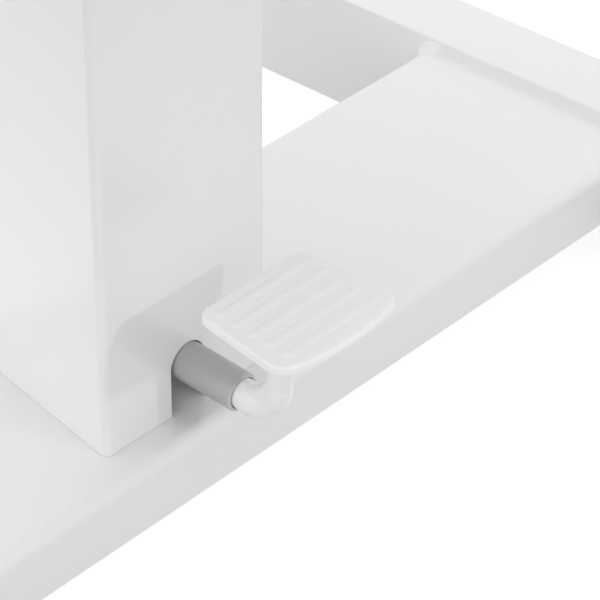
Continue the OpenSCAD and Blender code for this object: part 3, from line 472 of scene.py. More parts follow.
skin = column_outline(0, column_corner_r)
inside = column_outline(column_wall, inside_corner_r)
foot_z = column_low.z + column_seam
bm = bmesh.new()
loft(bm, [at_height(skin, foot_z), at_height(skin, column_high.z),
          at_height(inside, column_high.z), at_height(inside, foot_z)], cyclic=True)
slot = [Vector((-slot_r, -0.01)), Vector((slot_r, -0.01))] + arc((0, slot_rise), slot_r, 0, 180, 24)
cutter = bmesh.new()
loft(cutter, [[Vector((p.x, y, column_low.z + p.y)) for p in slot]
              for y in (-column_half_d - 0.01, column_wall * 2 - column_half_d)])
bm = combine(bm, cutter, "DIFFERENCE")
soften(bm, 0.0003)
column = add_piece("outer_column_shell", bm, powder_white, "base", "powder_white", "outer_column")
# The column's inside faces get a near-black material: painted shade for the dark hollow seen through the slot, not a
# colour that the steel has.
column_inside_painted_shade = finish("column_inside_painted_shade", (0.05, 0.05, 0.052), 0.6, 500.0, 0.00003, tone_drift=0.3, metallic=0.4)
column.data.materials.append(column_inside_painted_shade)
for face in column.data.polygons:
    inwards = face.normal.x * face.center.x + face.normal.y * face.center.y < 0 and abs(face.normal.z) < 0.5
    if inwards and face.center.y > 0.9 * column_wall - column_half_d:
        face.material_index = 1


# Guide collar: a hard plastic sleeve pressed into the top of the column, with a rim on its edge. The sliding
# column runs in it.

guide_grey = finish("guide_grey", (0.62, 0.63, 0.64), 0.42, 1100.0, 0.00002)
guide_gap = 0.007
guide_clear = 0.00035
inner_corner_r = 0.004
collar_low, collar_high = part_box("guide_collar")
collar_edge = 0.0015
press_gap = 0.0001
inner_inset = column_wall + guide_gap
bore = column_outline(inner_inset - guide_clear, inner_corner_r + guide_clear)
sleeve = column_outline(column_wall + press_gap, inside_corner_r)
rings = [at_height(sleeve, collar_low.z), at_height(sleeve, column_high.z)]
rings.append(at_height(column_outline(0, column_corner_r), column_high.z))
for turn in arc((0, 0), collar_edge, 0, 90, 4):
    drawn_in = collar_edge - turn.x
    rim = column_outline(drawn_in, column_corner_r - drawn_in)
    rings.append(at_height(rim, collar_high.z - collar_edge + turn.y))
lead_in = column_outline(inner_inset - guide_clear - 0.0006, inner_corner_r + guide_clear)
rings += [at_height(lead_in, collar_high.z), at_height(bore, collar_high.z - 0.0012), at_height(bore, collar_low.z)]
bm = bmesh.new()
loft(bm, rings, cyclic=True)
add_piece("column_collar", bm, guide_grey, "base", "guide_grey", "guide_collar")


# Lever: a grey coated steel tube with a thin wall. It comes out through the slot, a little lower at its outer
# end, and carries the plastic pedal.

satin_tube = finish("satin_tube", (0.485, 0.485, 0.485), 0.42, 800.0, 0.00002, metallic=0.35)
pivot = Vector((0, -0.017, 0.098042))
lever_tilt = math.radians(2.85)
lever_frame = Matrix.Translation(pivot) @ Matrix.Rotation(lever_tilt, 4, "X")
column_face = -(pivot.y + column_half_d) / math.cos(lever_tilt)
lever_r = 0.00885
lever_bore_r = 0.0072
lever_drop = 0.0004
lever_lip = 0.0013
lever_bore_lip = 0.0003
lever_out = 0.0316
lever_inner_end = -0.012
lever_axis = lever_frame @ Matrix.Translation((0, 0, -lever_drop)) @ Matrix.Rotation(math.radians(90), 4, "X")
outer_end = lever_out - column_face
lever_profile = [(lever_bore_r, -lever_inner_end), (lever_r, -lever_inner_end), (lever_r, outer_end - 3 * lever_lip)]
lever_profile += [tuple(p) for p in arc((lever_r - lever_lip, outer_end - lever_lip), lever_lip, 0, 90, 6)]
bore_lip_at = (lever_bore_r + lever_bore_lip, outer_end - lever_bore_lip)
lever_profile += [tuple(p) for p in arc(bore_lip_at, lever_bore_lip, 90, 180, 4)]
bm = bmesh.new()
loft(bm, turned(lever_profile, lever_axis, 64), cyclic=True)
add_piece("pedal_lever", bm, satin_tube, "pedal", "satin_tube", "lever_tube")


# Pedal: one white plastic moulding. A round stem plugs into the lever, bends up into a tall neck and spreads
# under a flared pad with round-ended grip ribs.

pedal_white = finish("pedal_white", (0.91, 0.91, 0.91), 0.36, 1000.0, 0.00002, coat=0.3)
pad_w = 0.063
pad_l = 0.0546
pad_t = 0.0052
pad_back = 0.0327
pad_rise = 0.0585
pad_flare = 5.9
pad_front_r = 0.14
pad_corner_r = 0.009
pad_back_corner_r = 0.0068
pad_top_r = 0.001
pad_low_r = 0.0018
pad_roll = 0.0011
pad_roll_reach = 0.0062
neck_out = 0.0512
neck_r = 0.0058
neck_bend_r = 0.014
neck_lean = 9.0
neck_drop = 0.0012
neck_foot_r = 0.0069
neck_mouth = 0.003
neck_root_r = 0.0095
neck_root_h = 0.006
web_r = 0.0045
web_bend_r = 0.018
stem_r = lever_bore_r - 0.0001 - lever_drop
stem_in = 0.02
grip_count = 5
grip_lead = 0.13
grip_w = 0.005
grip_l = pad_w - 0.0064
grip_h = 0.0007
grip_root = 0.002
moulding_grain = 0.0004
pedal_frame = lever_frame @ Matrix.Translation((0, column_face, 0))


def repeat_tree():
    """Geometry Nodes that set copies of one item in columns and rows."""
    tree = bpy.data.node_groups.new("repeated_item", "GeometryNodeTree")
    for label, kind in (("Geometry", "Geometry"), ("Columns", "Int"), ("Column step", "Vector"), ("Rows", "Int"),
                        ("Row step", "Vector"), ("Material", "Material")):
        tree.interface.new_socket(label, in_out="INPUT", socket_type="NodeSocket" + kind)
    tree.interface.new_socket("Geometry", in_out="OUTPUT", socket_type="NodeSocketGeometry")
    nodes, links = tree.nodes, tree.links
    given, result = nodes.new("NodeGroupInput"), nodes.new("NodeGroupOutput")
    held = given.outputs["Geometry"]
    for way in ("Column", "Row"):
        line = nodes.new("GeometryNodeMeshLine")
        line.mode = "OFFSET"
        links.new(given.outputs[way + "s"], line.inputs["Count"])
        links.new(given.outputs[way + " step"], line.inputs["Offset"])
        copies = nodes.new("GeometryNodeInstanceOnPoints")
        links.new(line.outputs["Mesh"], copies.inputs["Points"])
        links.new(held, copies.inputs["Instance"])
        real = nodes.new("GeometryNodeRealizeInstances")
        links.new(copies.outputs["Instances"], real.inputs["Geometry"])
        held = real.outputs["Geometry"]
    coat = nodes.new("GeometryNodeSetMaterial")
    links.new(held, coat.inputs["Geometry"])
    links.new(given.outputs["Material"], coat.inputs["Material"])
    links.new(coat.outputs["Geometry"], result.inputs["Geometry"])
    return tree


repeated_item = repeat_tree()


def repeat(into, item, material, columns, column_step, rows=1, row_step=(0, 0, 0)):
    """Adds the item to a bmesh, copied in columns and rows by Geometry Nodes."""
    work = work_object(item)
    copies = work.modifiers.new("copies", "NODES")
    copies.node_group = repeated_item
    values = {"Columns": columns, "Column step": column_step, "Rows": rows, "Row step": row_step, "Material": material}
    for socket in repeated_item.interface.items_tree:
        if socket.in_out == "INPUT" and socket.name in values:
            copies[socket.identifier] = values[socket.name]
    into.from_mesh(evaluated(work))


def pad_outline(inset):
    """Plan of the pad, drawn in by an inset, with its back edge where the pad's is."""
    flare = math.radians(pad_flare)
    away = Vector((math.cos(flare), math.sin(flare)))
    down = Vector((math.sin(flare), -math.cos(flare)))
    bow = Vector((0, pad_front_r - pad_l))
    start = away * (pad_w / 2 * math.cos(flare) - pad_corner_r) - bow
    slide = down.dot(start)
    reach = math.sqrt(slide ** 2 - start.dot(start) + (pad_front_r - pad_corner_r) ** 2)
    corner = bow + start + (reach - slide) * down
    turn = math.degrees(math.atan2(corner.y - bow.y, corner.x))
    back_x = (pad_w / 2 * math.cos(flare) - pad_back_corner_r * (1 - math.sin(flare))) / math.cos(flare)
    back_y = -pad_back_corner_r
    r, back_r = pad_corner_r - inset, pad_back_corner_r - inset
    outline = (arc(bow, pad_front_r - inset, -180 - turn, turn, 24)[1:-1] + arc(corner, r, turn, pad_flare)
               + arc((back_x, back_y), back_r, pad_flare, 90) + arc((-back_x, back_y), back_r, 90, 180 - pad_flare)
               + arc((-corner.x, corner.y), r, 180 - pad_flare, 180 - turn))
    return [p - Vector((0, pad_back)) for p in outline]


def slab(outline, low, high, low_edge, high_edge, steps=5):
    """Rings of a plate between two heights with rounded edges; outline gives its plan at an inset."""
    rings = [at_height(outline(low_edge - p.x), low + low_edge + p.y) for p in arc((0, 0), low_edge, 270, 360, steps)]
    return rings + [at_height(outline(high_edge - p.x), high - high_edge + p.y)
                    for p in arc((0, 0), high_edge, 0, 90, steps)]


def swept(path, radii, segments=48):
    """Rings of a round bar along a path in a plane of constant x."""
    across = Vector((1, 0, 0))
    rings = []
    for i, (spot, radius) in enumerate(zip(path, radii)):
        along = (path[min(i + 1, len(path) - 1)] - path[max(i - 1, 0)]).normalized()
        up = across.cross(along)
        turns = [2 * math.pi * k / segments for k in range(segments)]
        rings.append([spot + radius * (math.cos(t) * across + math.sin(t) * up) for t in turns])
    return rings


def upright(points, x):
    """Points of y and z in the plane of one x."""
    return [Vector((x, p[0], p[1])) for p in points]


rings = slab(pad_outline, pad_rise - pad_t, pad_rise, pad_low_r, pad_top_r, 6)
rings += [at_height(pad_outline(pad_top_r + (pad_roll_reach - pad_top_r) * i / 6), pad_rise) for i in range(1, 7)]
roll_start = pad_roll_reach - pad_back - pad_l
for ring in rings:
    for p in ring:
        if p.z > pad_rise - pad_t / 2:
            p.z -= pad_roll * (max(0.0, roll_start - p.y) / pad_roll_reach) ** 2
pedal = bmesh.new()
loft(pedal, rings)
grip_crown_r = (grip_w ** 2 / 4 + grip_h ** 2) / (2 * grip_h)
grip_step = pad_l / (grip_count + 1)
first = Vector((0, pad_back + grip_step * (1 - grip_lead)))
rings = []
for part in (-grip_root / grip_h, 0.0, 0.25, 0.5, 0.75, 0.9, 0.98):
    half = math.sqrt(grip_crown_r ** 2 - (grip_crown_r - grip_h * (1 - max(part, 0))) ** 2)
    plan = rounded_rectangle(grip_l - grip_w + 2 * half, 2 * half, 0.98 * half)
    rings.append(at_height([p - first for p in plan], pad_rise + grip_h * part))
rib = bmesh.new()
loft(rib, rings)
repeat(pedal, rib, pedal_white, 1, (0, 0, 0), grip_count, (0, -grip_step, 0))
stem_line = [(stem_in - lever_out, 0), (neck_mouth - lever_out, 0), (neck_mouth - lever_out - 0.0002, 0)]
stem_radii = [stem_r, stem_r, neck_foot_r]
bend = arc((neck_bend_r - neck_out, neck_bend_r - neck_drop), neck_bend_r, 270, 180 - neck_lean, 12)
stem_line += [tuple(p) for p in bend]
stem_radii += [neck_foot_r + (neck_r - neck_foot_r) * min(1.0, step / 6) for step in range(13)]
neck_run = math.tan(math.radians(neck_lean))
for step in range(9):
    part = step / 8
    z = pad_rise - pad_t - neck_root_h * (1 - part) + pad_t / 4 * part
    stem_line.append((bend[-1].x - (z - bend[-1].y) * neck_run, z))
    stem_radii.append(neck_r + (neck_root_r - neck_r) * part ** 2.4)
loft(pedal, swept(upright(stem_line, 0), stem_radii))
web_line = arc((-lever_out, web_bend_r + neck_drop), web_bend_r, 270, 195, 12)
loft(pedal, swept(upright(web_line, 0), [web_r] * len(web_line)))
work = work_object(pedal)
remesh = work.modifiers.new("moulding", "REMESH")
remesh.mode = "VOXEL"
remesh.voxel_size = moulding_grain
smooth = work.modifiers.new("soft_edges", "SMOOTH")
smooth.factor = 0.5
smooth.iterations = 4
mesh = evaluated(work)
mesh.transform(pedal_frame)
add_mesh("foot_pedal", mesh, pedal_white, "pedal", "pedal_white", "pedal_pad", smooth=180.0)


# Sliding column: a welded steel tube that runs in the collar and carries the seat. Its coat is smoother than
# the outer column's, and faintly drawn along its length by the guides.

slide_white = finish("slide_white", (0.85, 0.85, 0.855), 0.3, 500.0, 0.000015, tone_drift=0.02, gloss_drift=0.04,
                     stretch=(1, 1, 0.02))
inner_wall = 0.0025
inner_low, inner_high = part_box("inner_column")
skin = column_outline(inner_inset, inner_corner_r)
bore = column_outline(inner_inset + inner_wall, inner_corner_r - inner_wall)
bm = bmesh.new()
loft(bm, [at_height(skin, inner_low.z), at_height(skin, inner_high.z),
          at_height(bore, inner_high.z), at_height(bore, inner_low.z)], cyclic=True)
soften(bm, 0.0004)
add_piece("sliding_column", bm, slide_white, "carriage", "powder_white", "inner_column")


# Plates: laser-cut steel with rounded corners, coated white. One is welded to the sliding column under the
# seat frame; the other stiffens the cross beam from below, where the column is bolted on.

plate_edge = 0.0006
for node, body, corner_r in (("seat_plate", "carriage", 0.012), ("beam_stiffener", "base", 0.008)):
    low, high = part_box(node)
    size = high - low

    def plate_outline(inset):
        """Plan of the plate, drawn in by an inset."""
        return rounded_rectangle(size.x - 2 * inset, size.y - 2 * inset, corner_r - inset)

    bm = bmesh.new()
    loft(bm, slab(plate_outline, low.z, high.z, plate_edge, plate_edge, 3))
    add_piece(node + "_sheet", bm, powder_white, body, "powder_white", node)


# Seat frame: four lengths of square steel tube, welded into a ladder and coated white. The long tubes are
# bolted to the seat plate, and their open ends take the bars of the rail sockets.

frame_wall = 0.002
frame_corner_r = 0.003
frame_bore_r = 0.001


def along_x(outline, x, centre):
    """The outline as a ring that faces along X."""
    return [Vector((x, centre.y + p.x, centre.z + p.y)) for p in outline]


for node in ("front_frame_tube", "rear_frame_tube", "left_end_tube", "right_end_tube"):
    low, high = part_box(node)
    middle = (low + high) / 2
    side = high.z - low.z
    skin = rounded_rectangle(side, side, frame_corner_r, 5)
    bore = rounded_rectangle(side - 2 * frame_wall, side - 2 * frame_wall, frame_bore_r, 5)
    ring, ends = (along_x, (low.x, high.x)) if "frame" in node else (along_y, (low.y, high.y))
    bm = bmesh.new()
    loft(bm, [ring(skin, ends[0], middle), ring(skin, ends[1], middle),
              ring(bore, ends[1], middle), ring(bore, ends[0], middle)], cyclic=True)
    soften(bm, 0.0003)
    add_piece(node + "_steel", bm, powder_white, "carriage", "powder_white", node)


# Seat: one white plastic moulding with a fine mould grain, an upturned tray with a rolled rim. It has drain
# holes with eased edges, a hand hold at each end, and ribs and screw bosses underneath.

seat_white = finish("seat_white", (0.74, 0.74, 0.735), 0.44, 1500.0, 0.00004, tone_drift=0.015)
seat_low, seat_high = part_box("seat_board")
seat_w, seat_d = seat_high.x - seat_low.x, seat_high.y - seat_low.y
seat_corner_r = 0.06
seat_edge_r = 0.008
seat_skin = 0.005
rim_t = 0.0045
rib_t = 0.003
rib_pitch_x = 0.06
rib_pitch_y = 0.056
rib_columns = 9
rib_rows = 5
drain_r = 0.006
drain_columns = 6
drain_rows = 4
drain_edge = 0.0015
boss_r = 0.008
boss_x = 0.222
boss_y = 0.1
hold_w = 0.034
hold_l = 0.12
hold_x = seat_w / 2 - 0.036
hold_wall = 0.004
hold_edge = 0.003
overlap = 0.001
pocket_top = seat_high.z - seat_skin


def block(low, high):
    """A bmesh of a straight-sided bar between two corners."""
    bm = bmesh.new()
    plan = [Vector((low[0], low[1])), Vector((high[0], low[1])), Vector((high[0], high[1])), Vector((low[0], high[1]))]
    loft(bm, [at_height(plan, low[2]), at_height(plan, high[2])])
    return bm


def peg(radius, x, y, low, high, segments=32):
    """A bmesh of an upright round bar."""
    bm = bmesh.new()
    loft(bm, turned([(radius, low), (radius, high)], Matrix.Translation((x, y, 0)), segments))
    return bm


def seat_outline(inset):
    """Plan of the seat, drawn in by an inset."""
    return rounded_rectangle(seat_w - 2 * inset, seat_d - 2 * inset, seat_corner_r - inset, 16)


def hold_outline(grow, side):
    """Plan of a hand hold, grown by a wall."""
    plan = rounded_rectangle(hold_w + 2 * grow, hold_l + 2 * grow, hold_w / 2 + grow - 0.0001, 12)
    return [p + Vector((side * hold_x, 0)) for p in plan]


seat = bmesh.new()
loft(seat, slab(seat_outline, seat_low.z, seat_high.z, seat_edge_r, seat_edge_r, 8))
pocket = bmesh.new()
loft(pocket, [at_height(seat_outline(rim_t), z) for z in (seat_low.z - overlap, pocket_top)])
seat = combine(seat, pocket, "DIFFERENCE")
inner_half = Vector((seat_w / 2 - rim_t + overlap, seat_d / 2 - rim_t + overlap))
under = bmesh.new()
first_x = -rib_pitch_x * (rib_columns - 1) / 2
first_y = -rib_pitch_y * (rib_rows - 1) / 2
rib = block((first_x - rib_t / 2, -inner_half.y, seat_low.z), (first_x + rib_t / 2, inner_half.y, pocket_top + overlap))
repeat(under, rib, seat_white, rib_columns, (rib_pitch_x, 0, 0))
rib = block((-inner_half.x, first_y - rib_t / 2, seat_low.z), (inner_half.x, first_y + rib_t / 2, pocket_top + overlap))
repeat(under, rib, seat_white, 1, (0, 0, 0), rib_rows, (0, rib_pitch_y, 0))
boss = peg(boss_r, -boss_x, -boss_y, seat_low.z, pocket_top + overlap)
repeat(under, boss, seat_white, 2, (2 * boss_x, 0, 0), 2, (0, 2 * boss_y, 0))
openings = bmesh.new()
for side in (-1, 1):
    loft(under, [at_height(hold_outline(hold_wall, side), z) for z in (seat_low.z, pocket_top + overlap)])
    loft(openings, [at_height(hold_outline(0, side), z) for z in (seat_low.z - overlap, seat_high.z + overlap)])
seat = combine(seat, under, "UNION", tool_crosses_itself=True)
first_x = -rib_pitch_x * (drain_columns - 1) / 2
first_y = -rib_pitch_y * (drain_rows - 1) / 2
drain = peg(drain_r, first_x, first_y, pocket_top - overlap, seat_high.z + overlap)
repeat(openings, drain, seat_white, drain_columns, (rib_pitch_x, 0, 0), drain_rows, (0, rib_pitch_y, 0))
seat = combine(seat, openings, "DIFFERENCE")
for reach, width in ((hold_w / 2 + 0.001, hold_edge), (0, drain_edge)):
    lips = [e for e in seat.edges if len(e.link_faces) == 2 and e.calc_face_angle(0) > 1
            and all(abs(v.co.z - seat_high.z) < 1e-5 for v in e.verts)
            and (abs(abs(e.verts[0].co.x) - hold_x) < reach) == (reach > 0)]
    bmesh.ops.bevel(seat, geom=lips, offset=width, segments=5, profile=0.5, affect="EDGES", clamp_overlap=True)
add_piece("seat_moulding", seat, seat_white, "carriage", "seat_white", "seat_board")


# Back: two bent steel tubes in the lever's grey coat, welded to the rear frame tube and closed by white plugs,
# with a curved white panel screwed to their fronts.

back_wall = 0.0015
tube_bend_r = 0.045
plug_t = 0.003
plug_in = 0.014
plug_edge = 0.0018


def tube(path, outer_r, inner_r):
    """A bmesh of a hollow round tube along a path in a plane of constant x."""
    outer, inner = swept(path, [outer_r] * len(path)), swept(path, [inner_r] * len(path))
    bm = bmesh.new()
    loft(bm, outer + inner[::-1], cyclic=True)
    return bm


plugs = bmesh.new()
for side in ("left", "right"):
    low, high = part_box(side + "_back_tube")
    x = (low.x + high.x) / 2
    back_r = (high.x - low.x) / 2
    upright_y = high.y - back_r
    seat_line = low.z + back_r
    path = [(low.y, seat_line)]
    path += arc((upright_y - tube_bend_r, seat_line + tube_bend_r), tube_bend_r, 270, 360, 20)
    path += [(upright_y, high.z)]
    bm = tube(upright(path, x), back_r, back_r - back_wall)
    soften(bm, 0.0003, angle=70)
    add_piece(side + "_back_tube_steel", bm, satin_tube, "carriage", "satin_tube", side + "_back_tube")
    plug_r = back_r - back_wall - 0.0001
    profile = [(plug_r - 0.001, -plug_in), (plug_r, 0.001 - plug_in), (plug_r, 0), (back_r, 0)]
    profile += [tuple(p) for p in arc((back_r - plug_edge, plug_t - plug_edge), plug_edge, 0, 90, 5)]
    loft(plugs, turned(profile, Matrix.Translation((x, upright_y, high.z))))
add_piece("back_tube_plugs", plugs, cap_white, "carriage", "cap_white", "back_plugs")

panel_low, panel_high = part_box("back_panel")
panel_t = 0.02
panel_curve_r = 0.9
panel_centre_y = panel_high.y - panel_t / 2 - panel_curve_r
panel_corner_r = 0.045
panel_edge_r = 0.007
panel_step = 0.012
panel_mid_z = (panel_low.z + panel_high.z) / 2


def panel_ring(inset, depth, share=1.0):
    """Outline of the panel, drawn in by an inset or to a share of its size, at a depth from its middle surface."""
    size = panel_high - panel_low
    plan = rounded_rectangle(size.x - 2 * panel_edge_r, size.z - 2 * panel_edge_r, panel_corner_r - panel_edge_r)
    grown = rounded_rectangle(size.x - 2 * inset, size.z - 2 * inset, panel_corner_r - inset)
    plan = [a if share < 1 else b for a, b in zip(spaced(plan, panel_step, True), spaced(grown, panel_step, True))]
    return [Vector((p.x * share, panel_centre_y + math.sqrt((panel_curve_r + depth) ** 2 - (p.x * share) ** 2),
                    panel_mid_z + p.y * share)) for p in plan]


shares = [0.04, 0.2, 0.4, 0.6, 0.8, 0.93]
rings = [panel_ring(0, -panel_t / 2, share) for share in shares]
for p in arc((0, 0), panel_edge_r, 180, 90, 6):
    rings.append(panel_ring(panel_edge_r - p.y, panel_edge_r - panel_t / 2 + p.x))
for p in arc((0, 0), panel_edge_r, 90, 0, 6):
    rings.append(panel_ring(panel_edge_r - p.y, panel_t / 2 - panel_edge_r + p.x))
rings += [panel_ring(0, panel_t / 2, share) for share in reversed(shares)]
bm = bmesh.new()
loft(bm, rings)
add_piece("back_rest_panel", bm, seat_white, "carriage", "seat_white", "back_panel")


# Rail sockets: a square bar in the end of each long tube, welded to an upright sleeve that is open at the top,
# coated white with the frame. The rail goes in at either end of the seat.

socket_wall = 0.003
socket_floor = 0.003
socket_bar = 0.0208
socket_bar_r = 0.001
arm_y = 0.1
for side, way in (("left", -1), ("right", 1)):
    node = side + "_arm_sockets"
    low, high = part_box(node)
    sleeve_r = (high.y - low.y) / 2 - arm_y
    tip, bar_end = (low.x, high.x) if way < 0 else (high.x, low.x)
    arm_x = tip - way * sleeve_r
    both = bmesh.new()
    for y in (-arm_y, arm_y):
        bar = bmesh.new()
        middle = Vector((0, y, (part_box("front_frame_tube")[0].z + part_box("front_frame_tube")[1].z) / 2))
        plan = rounded_rectangle(socket_bar, socket_bar, socket_bar_r, 4)
        loft(bar, [along_x(plan, x, middle) for x in (bar_end, arm_x)])
        socket = combine(peg(sleeve_r, arm_x, y, low.z, high.z, 48), bar, "UNION")
        hole = peg(sleeve_r - socket_wall, arm_x, y, low.z + socket_floor, high.z + overlap, 48)
        socket = combine(socket, hole, "DIFFERENCE")
        soften(socket, 0.0006)
        both.from_mesh(evaluated(work_object(socket)))
    add_piece(node + "_steel", both, powder_white, "carriage", "powder_white", node)


# Hand rail: one bent steel tube in the lever's grey coat, with a ribbed rubber sleeve pushed on its top. Its
# legs stand in the sockets.

arm_wall = 0.0015
grip_bore_gap = 0.0001
grip_core_in = 0.0011
grip_edge = 0.0016
grip_rib_half = 0.0017
grip_rib_pitch = 0.0062
grip_rib_count = 15
low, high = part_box("arm_rail")
arm_x = (low.x + high.x) / 2
arm_r = (high.x - low.x) / 2
leg_y, arm_top = high.y - arm_r, high.z - arm_r
bend_y, bend_z = leg_y - tube_bend_r, arm_top - tube_bend_r
path = [(-leg_y, low.z)] + arc((-bend_y, bend_z), tube_bend_r, 180, 90, 20)
path += arc((bend_y, bend_z), tube_bend_r, 90, 0, 20) + [(leg_y, low.z)]
bm = tube(upright(path, arm_x), arm_r, arm_r - arm_wall)
soften(bm, 0.0003, angle=70)
add_piece("hand_rail_tube", bm, satin_tube, "carriage", "satin_tube", "arm_rail")
grip_grey = finish("grip_grey", (0.1, 0.105, 0.11), 0.6, 1800.0, 0.00005, tone_drift=0.1)
low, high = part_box("arm_grip")
grip_r = (high.x - low.x) / 2
core_r = grip_r - grip_core_in
grip_place = Matrix.Translation((arm_x, low.y, arm_top)) @ Matrix.Rotation(math.radians(-90), 4, "X")
grip_l = high.y - low.y
collar_l = 0.0075
half_profile = [(core_r, collar_l), (core_r + 0.0004, collar_l - 0.0008), (grip_r, collar_l - 0.0014),
                (grip_r, grip_edge)]
half_profile += [tuple(p) for p in arc((grip_r - grip_edge, grip_edge), grip_edge, 0, -90, 5)]
bore_r = arm_r + grip_bore_gap
profile = [(bore_r, 0), (bore_r, grip_l)] + [(r, grip_l - h) for r, h in reversed(half_profile)] + half_profile
grip, rib, ribs = bmesh.new(), bmesh.new(), bmesh.new()
loft(grip, turned(profile, grip_place), cyclic=True)
rib_at = (grip_l - grip_rib_pitch * (grip_rib_count - 1)) / 2
rib_profile = [(core_r - 0.0006, rib_at + grip_rib_half)]
rib_profile += [(core_r + 0.0002 + p.x * (grip_core_in - 0.0002) / grip_rib_half, rib_at + p.y)
                for p in arc((0, 0), grip_rib_half, 90, -90, 8)]
rib_profile += [(core_r - 0.0006, rib_at - grip_rib_half)]
loft(rib, turned(rib_profile, grip_place), cyclic=True)
repeat(ribs, rib, grip_grey, 1, (0, 0, 0), grip_rib_count, (0, grip_rib_pitch, 0))
add_piece("hand_rail_grip", combine(grip, ribs, "UNION"), grip_grey, "carriage", "grip_grey", "arm_grip")


# Knobs: lobed grey plastic clamp knobs on steel screws. They press on the rail's legs through the sleeves, and
# wait in the empty sockets at the other end.

knob_lobes = 6
knob_wave = 0.06
knob_neck_r = 0.007
knob_screw_r = 0.0025
knob_gap = 0.004
knob_edge = 0.0022
low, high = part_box("arm_knobs")
knob_r = (high.y - low.y) / 2 - arm_y
knob_z = (low.z + high.z) / 2
knob_l = 0.012
knob_clear = 0.0003
knob_dish = 0.0008
knob_face = high.x - knob_l


def lobed(turn):
    """Reach of a lobed knob of unit outer radius at a turn about its axis."""
    return 1 - knob_wave + knob_wave * math.cos(knob_lobes * turn)


profile = [(knob_screw_r, arm_x + arm_r + 0.0001 - knob_face), (knob_screw_r, knob_clear - knob_gap),
           (knob_neck_r, knob_clear - knob_gap), (knob_neck_r, 0)]
profile += [(knob_r - knob_edge + p.x, knob_edge + p.y, lobed) for p in arc((0, 0), knob_edge, 270, 360, 4)]
profile += [(knob_r - knob_edge + p.x, knob_l - knob_edge + p.y, lobed) for p in arc((0, 0), knob_edge, 0, 90, 4)]
profile += [(0.55 * knob_r, knob_l), (0.5 * knob_r, knob_l - knob_dish), (0.1 * knob_r, knob_l - knob_dish)]
knobs = bmesh.new()
for way in (-1, 1):
    place = Matrix.Translation((way * knob_face, -arm_y, knob_z)) @ Matrix.Rotation(math.radians(way * 90), 4, "Y")
    knob = bmesh.new()
    loft(knob, turned(profile, place, 72))
    repeat(knobs, knob, grip_grey, 1, (0, 0, 0), 2, (0, 2 * arm_y, 0))
add_piece("clamp_knobs", knobs, grip_grey, "carriage", "grip_grey", "arm_knobs")


# Bolts, screws and buffers: zinc-plated hexagon bolts under the beam and the seat plate, pan-head screws with a
# hexagon socket under the seat and behind the back, and rubber buffers where the seat lands on the collar.

zinc = finish("zinc", (0.6, 0.61, 0.62), 0.36, 900.0, 0.00001, metallic=1.0, tone_drift=0.12, drift_scale=60.0)
hex_half = 0.0065
bolt_r = 0.004
bolt_head = 0.0055
bolt_chamfer = 0.0006
washer_face = 0.0004
pan_r = 0.0045
pan_h = 0.003
pan_edge = 0.0012
key_half = 0.0015
key_depth = 0.0018
pan_shank_r = 0.0025
pan_chamfer = 0.0005
bolt_inset = 0.009


def hexagon(turn):
    """Reach of a hexagon of unit inner radius at a turn about its axis."""
    return 1 / math.cos(turn % (math.pi / 3) - math.pi / 6)


def hex_bolt(place, shank):
    """A bolt along the place's z axis, with the underside of its head at the origin."""
    bm = bmesh.new()
    loft(bm, turned([(0.3 * hex_half, -bolt_head), (0.95 * hex_half, -bolt_head),
                     (hex_half, bolt_chamfer - bolt_head, hexagon), (hex_half, -washer_face, hexagon),
                     (0.95 * hex_half, -washer_face), (0.95 * hex_half, 0), (bolt_r, 0), (bolt_r, shank - bolt_chamfer),
                     (bolt_r - bolt_chamfer, shank)], place, 24))
    return bm


def pan_screw(place, shank):
    """A pan-head screw along the place's z axis, with the underside of its head at the origin."""
    bm = bmesh.new()
    profile = [(0.3 * key_half, key_depth - pan_h), (key_half, key_depth - pan_h, hexagon), (key_half, -pan_h, hexagon)]
    profile += [(pan_r - pan_edge + p.x, pan_edge - pan_h - p.y) for p in arc((0, 0), pan_edge, 90, 0, 4)]
    profile += [(pan_r, 0), (pan_shank_r, 0), (pan_shank_r, shank - pan_chamfer), (pan_shank_r - pan_chamfer, shank)]
    loft(bm, turned(profile, place, 24))
    return bm


bolts = bmesh.new()
low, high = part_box("column_bolts")
bolt_y = 0.36 * 2 * column_half_d
for y in (-bolt_y, bolt_y):
    clear = column_half_w - (y + column_half_d) * math.tan(column_taper) - column_wall / math.cos(column_taper)
    x = clear - bolt_inset
    bolt = hex_bolt(Matrix.Translation((-x, y, low.z + bolt_head)), high.z - low.z - bolt_head)
    repeat(bolts, bolt, zinc, 2, (2 * x, 0, 0))
add_piece("column_foot_bolts", bolts, zinc, "base", "zinc", "column_bolts")

for name, node, item, head, x, y in (("seat_plate_bolts", "plate_bolts", hex_bolt, bolt_head, 0.062, 0.1),
                                     ("seat_frame_screws", "seat_screws", pan_screw, pan_h, boss_x, boss_y)):
    low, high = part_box(node)
    heads = bmesh.new()
    first = item(Matrix.Translation((-x, -y, low.z + head)), high.z - low.z - head)
    repeat(heads, first, zinc, 2, (2 * x, 0, 0), 2, (0, 2 * y, 0))
    add_piece(name, heads, zinc, "carriage", "zinc", node)

low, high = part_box("back_screws")
screw_z = (high.z - low.z) / 2 - pan_r
screw_x = (high.x - low.x) / 2 - pan_r
place = Matrix.Translation((-screw_x, high.y - pan_h, (low.z + high.z) / 2 - screw_z))
first = pan_screw(place @ Matrix.Rotation(math.radians(90), 4, "X"), high.y - low.y - pan_h)
heads = bmesh.new()
repeat(heads, first, zinc, 2, (2 * screw_x, 0, 0), 2, (0, 0, 2 * screw_z))
add_piece("back_panel_screws", heads, zinc, "carriage", "zinc", "back_screws")

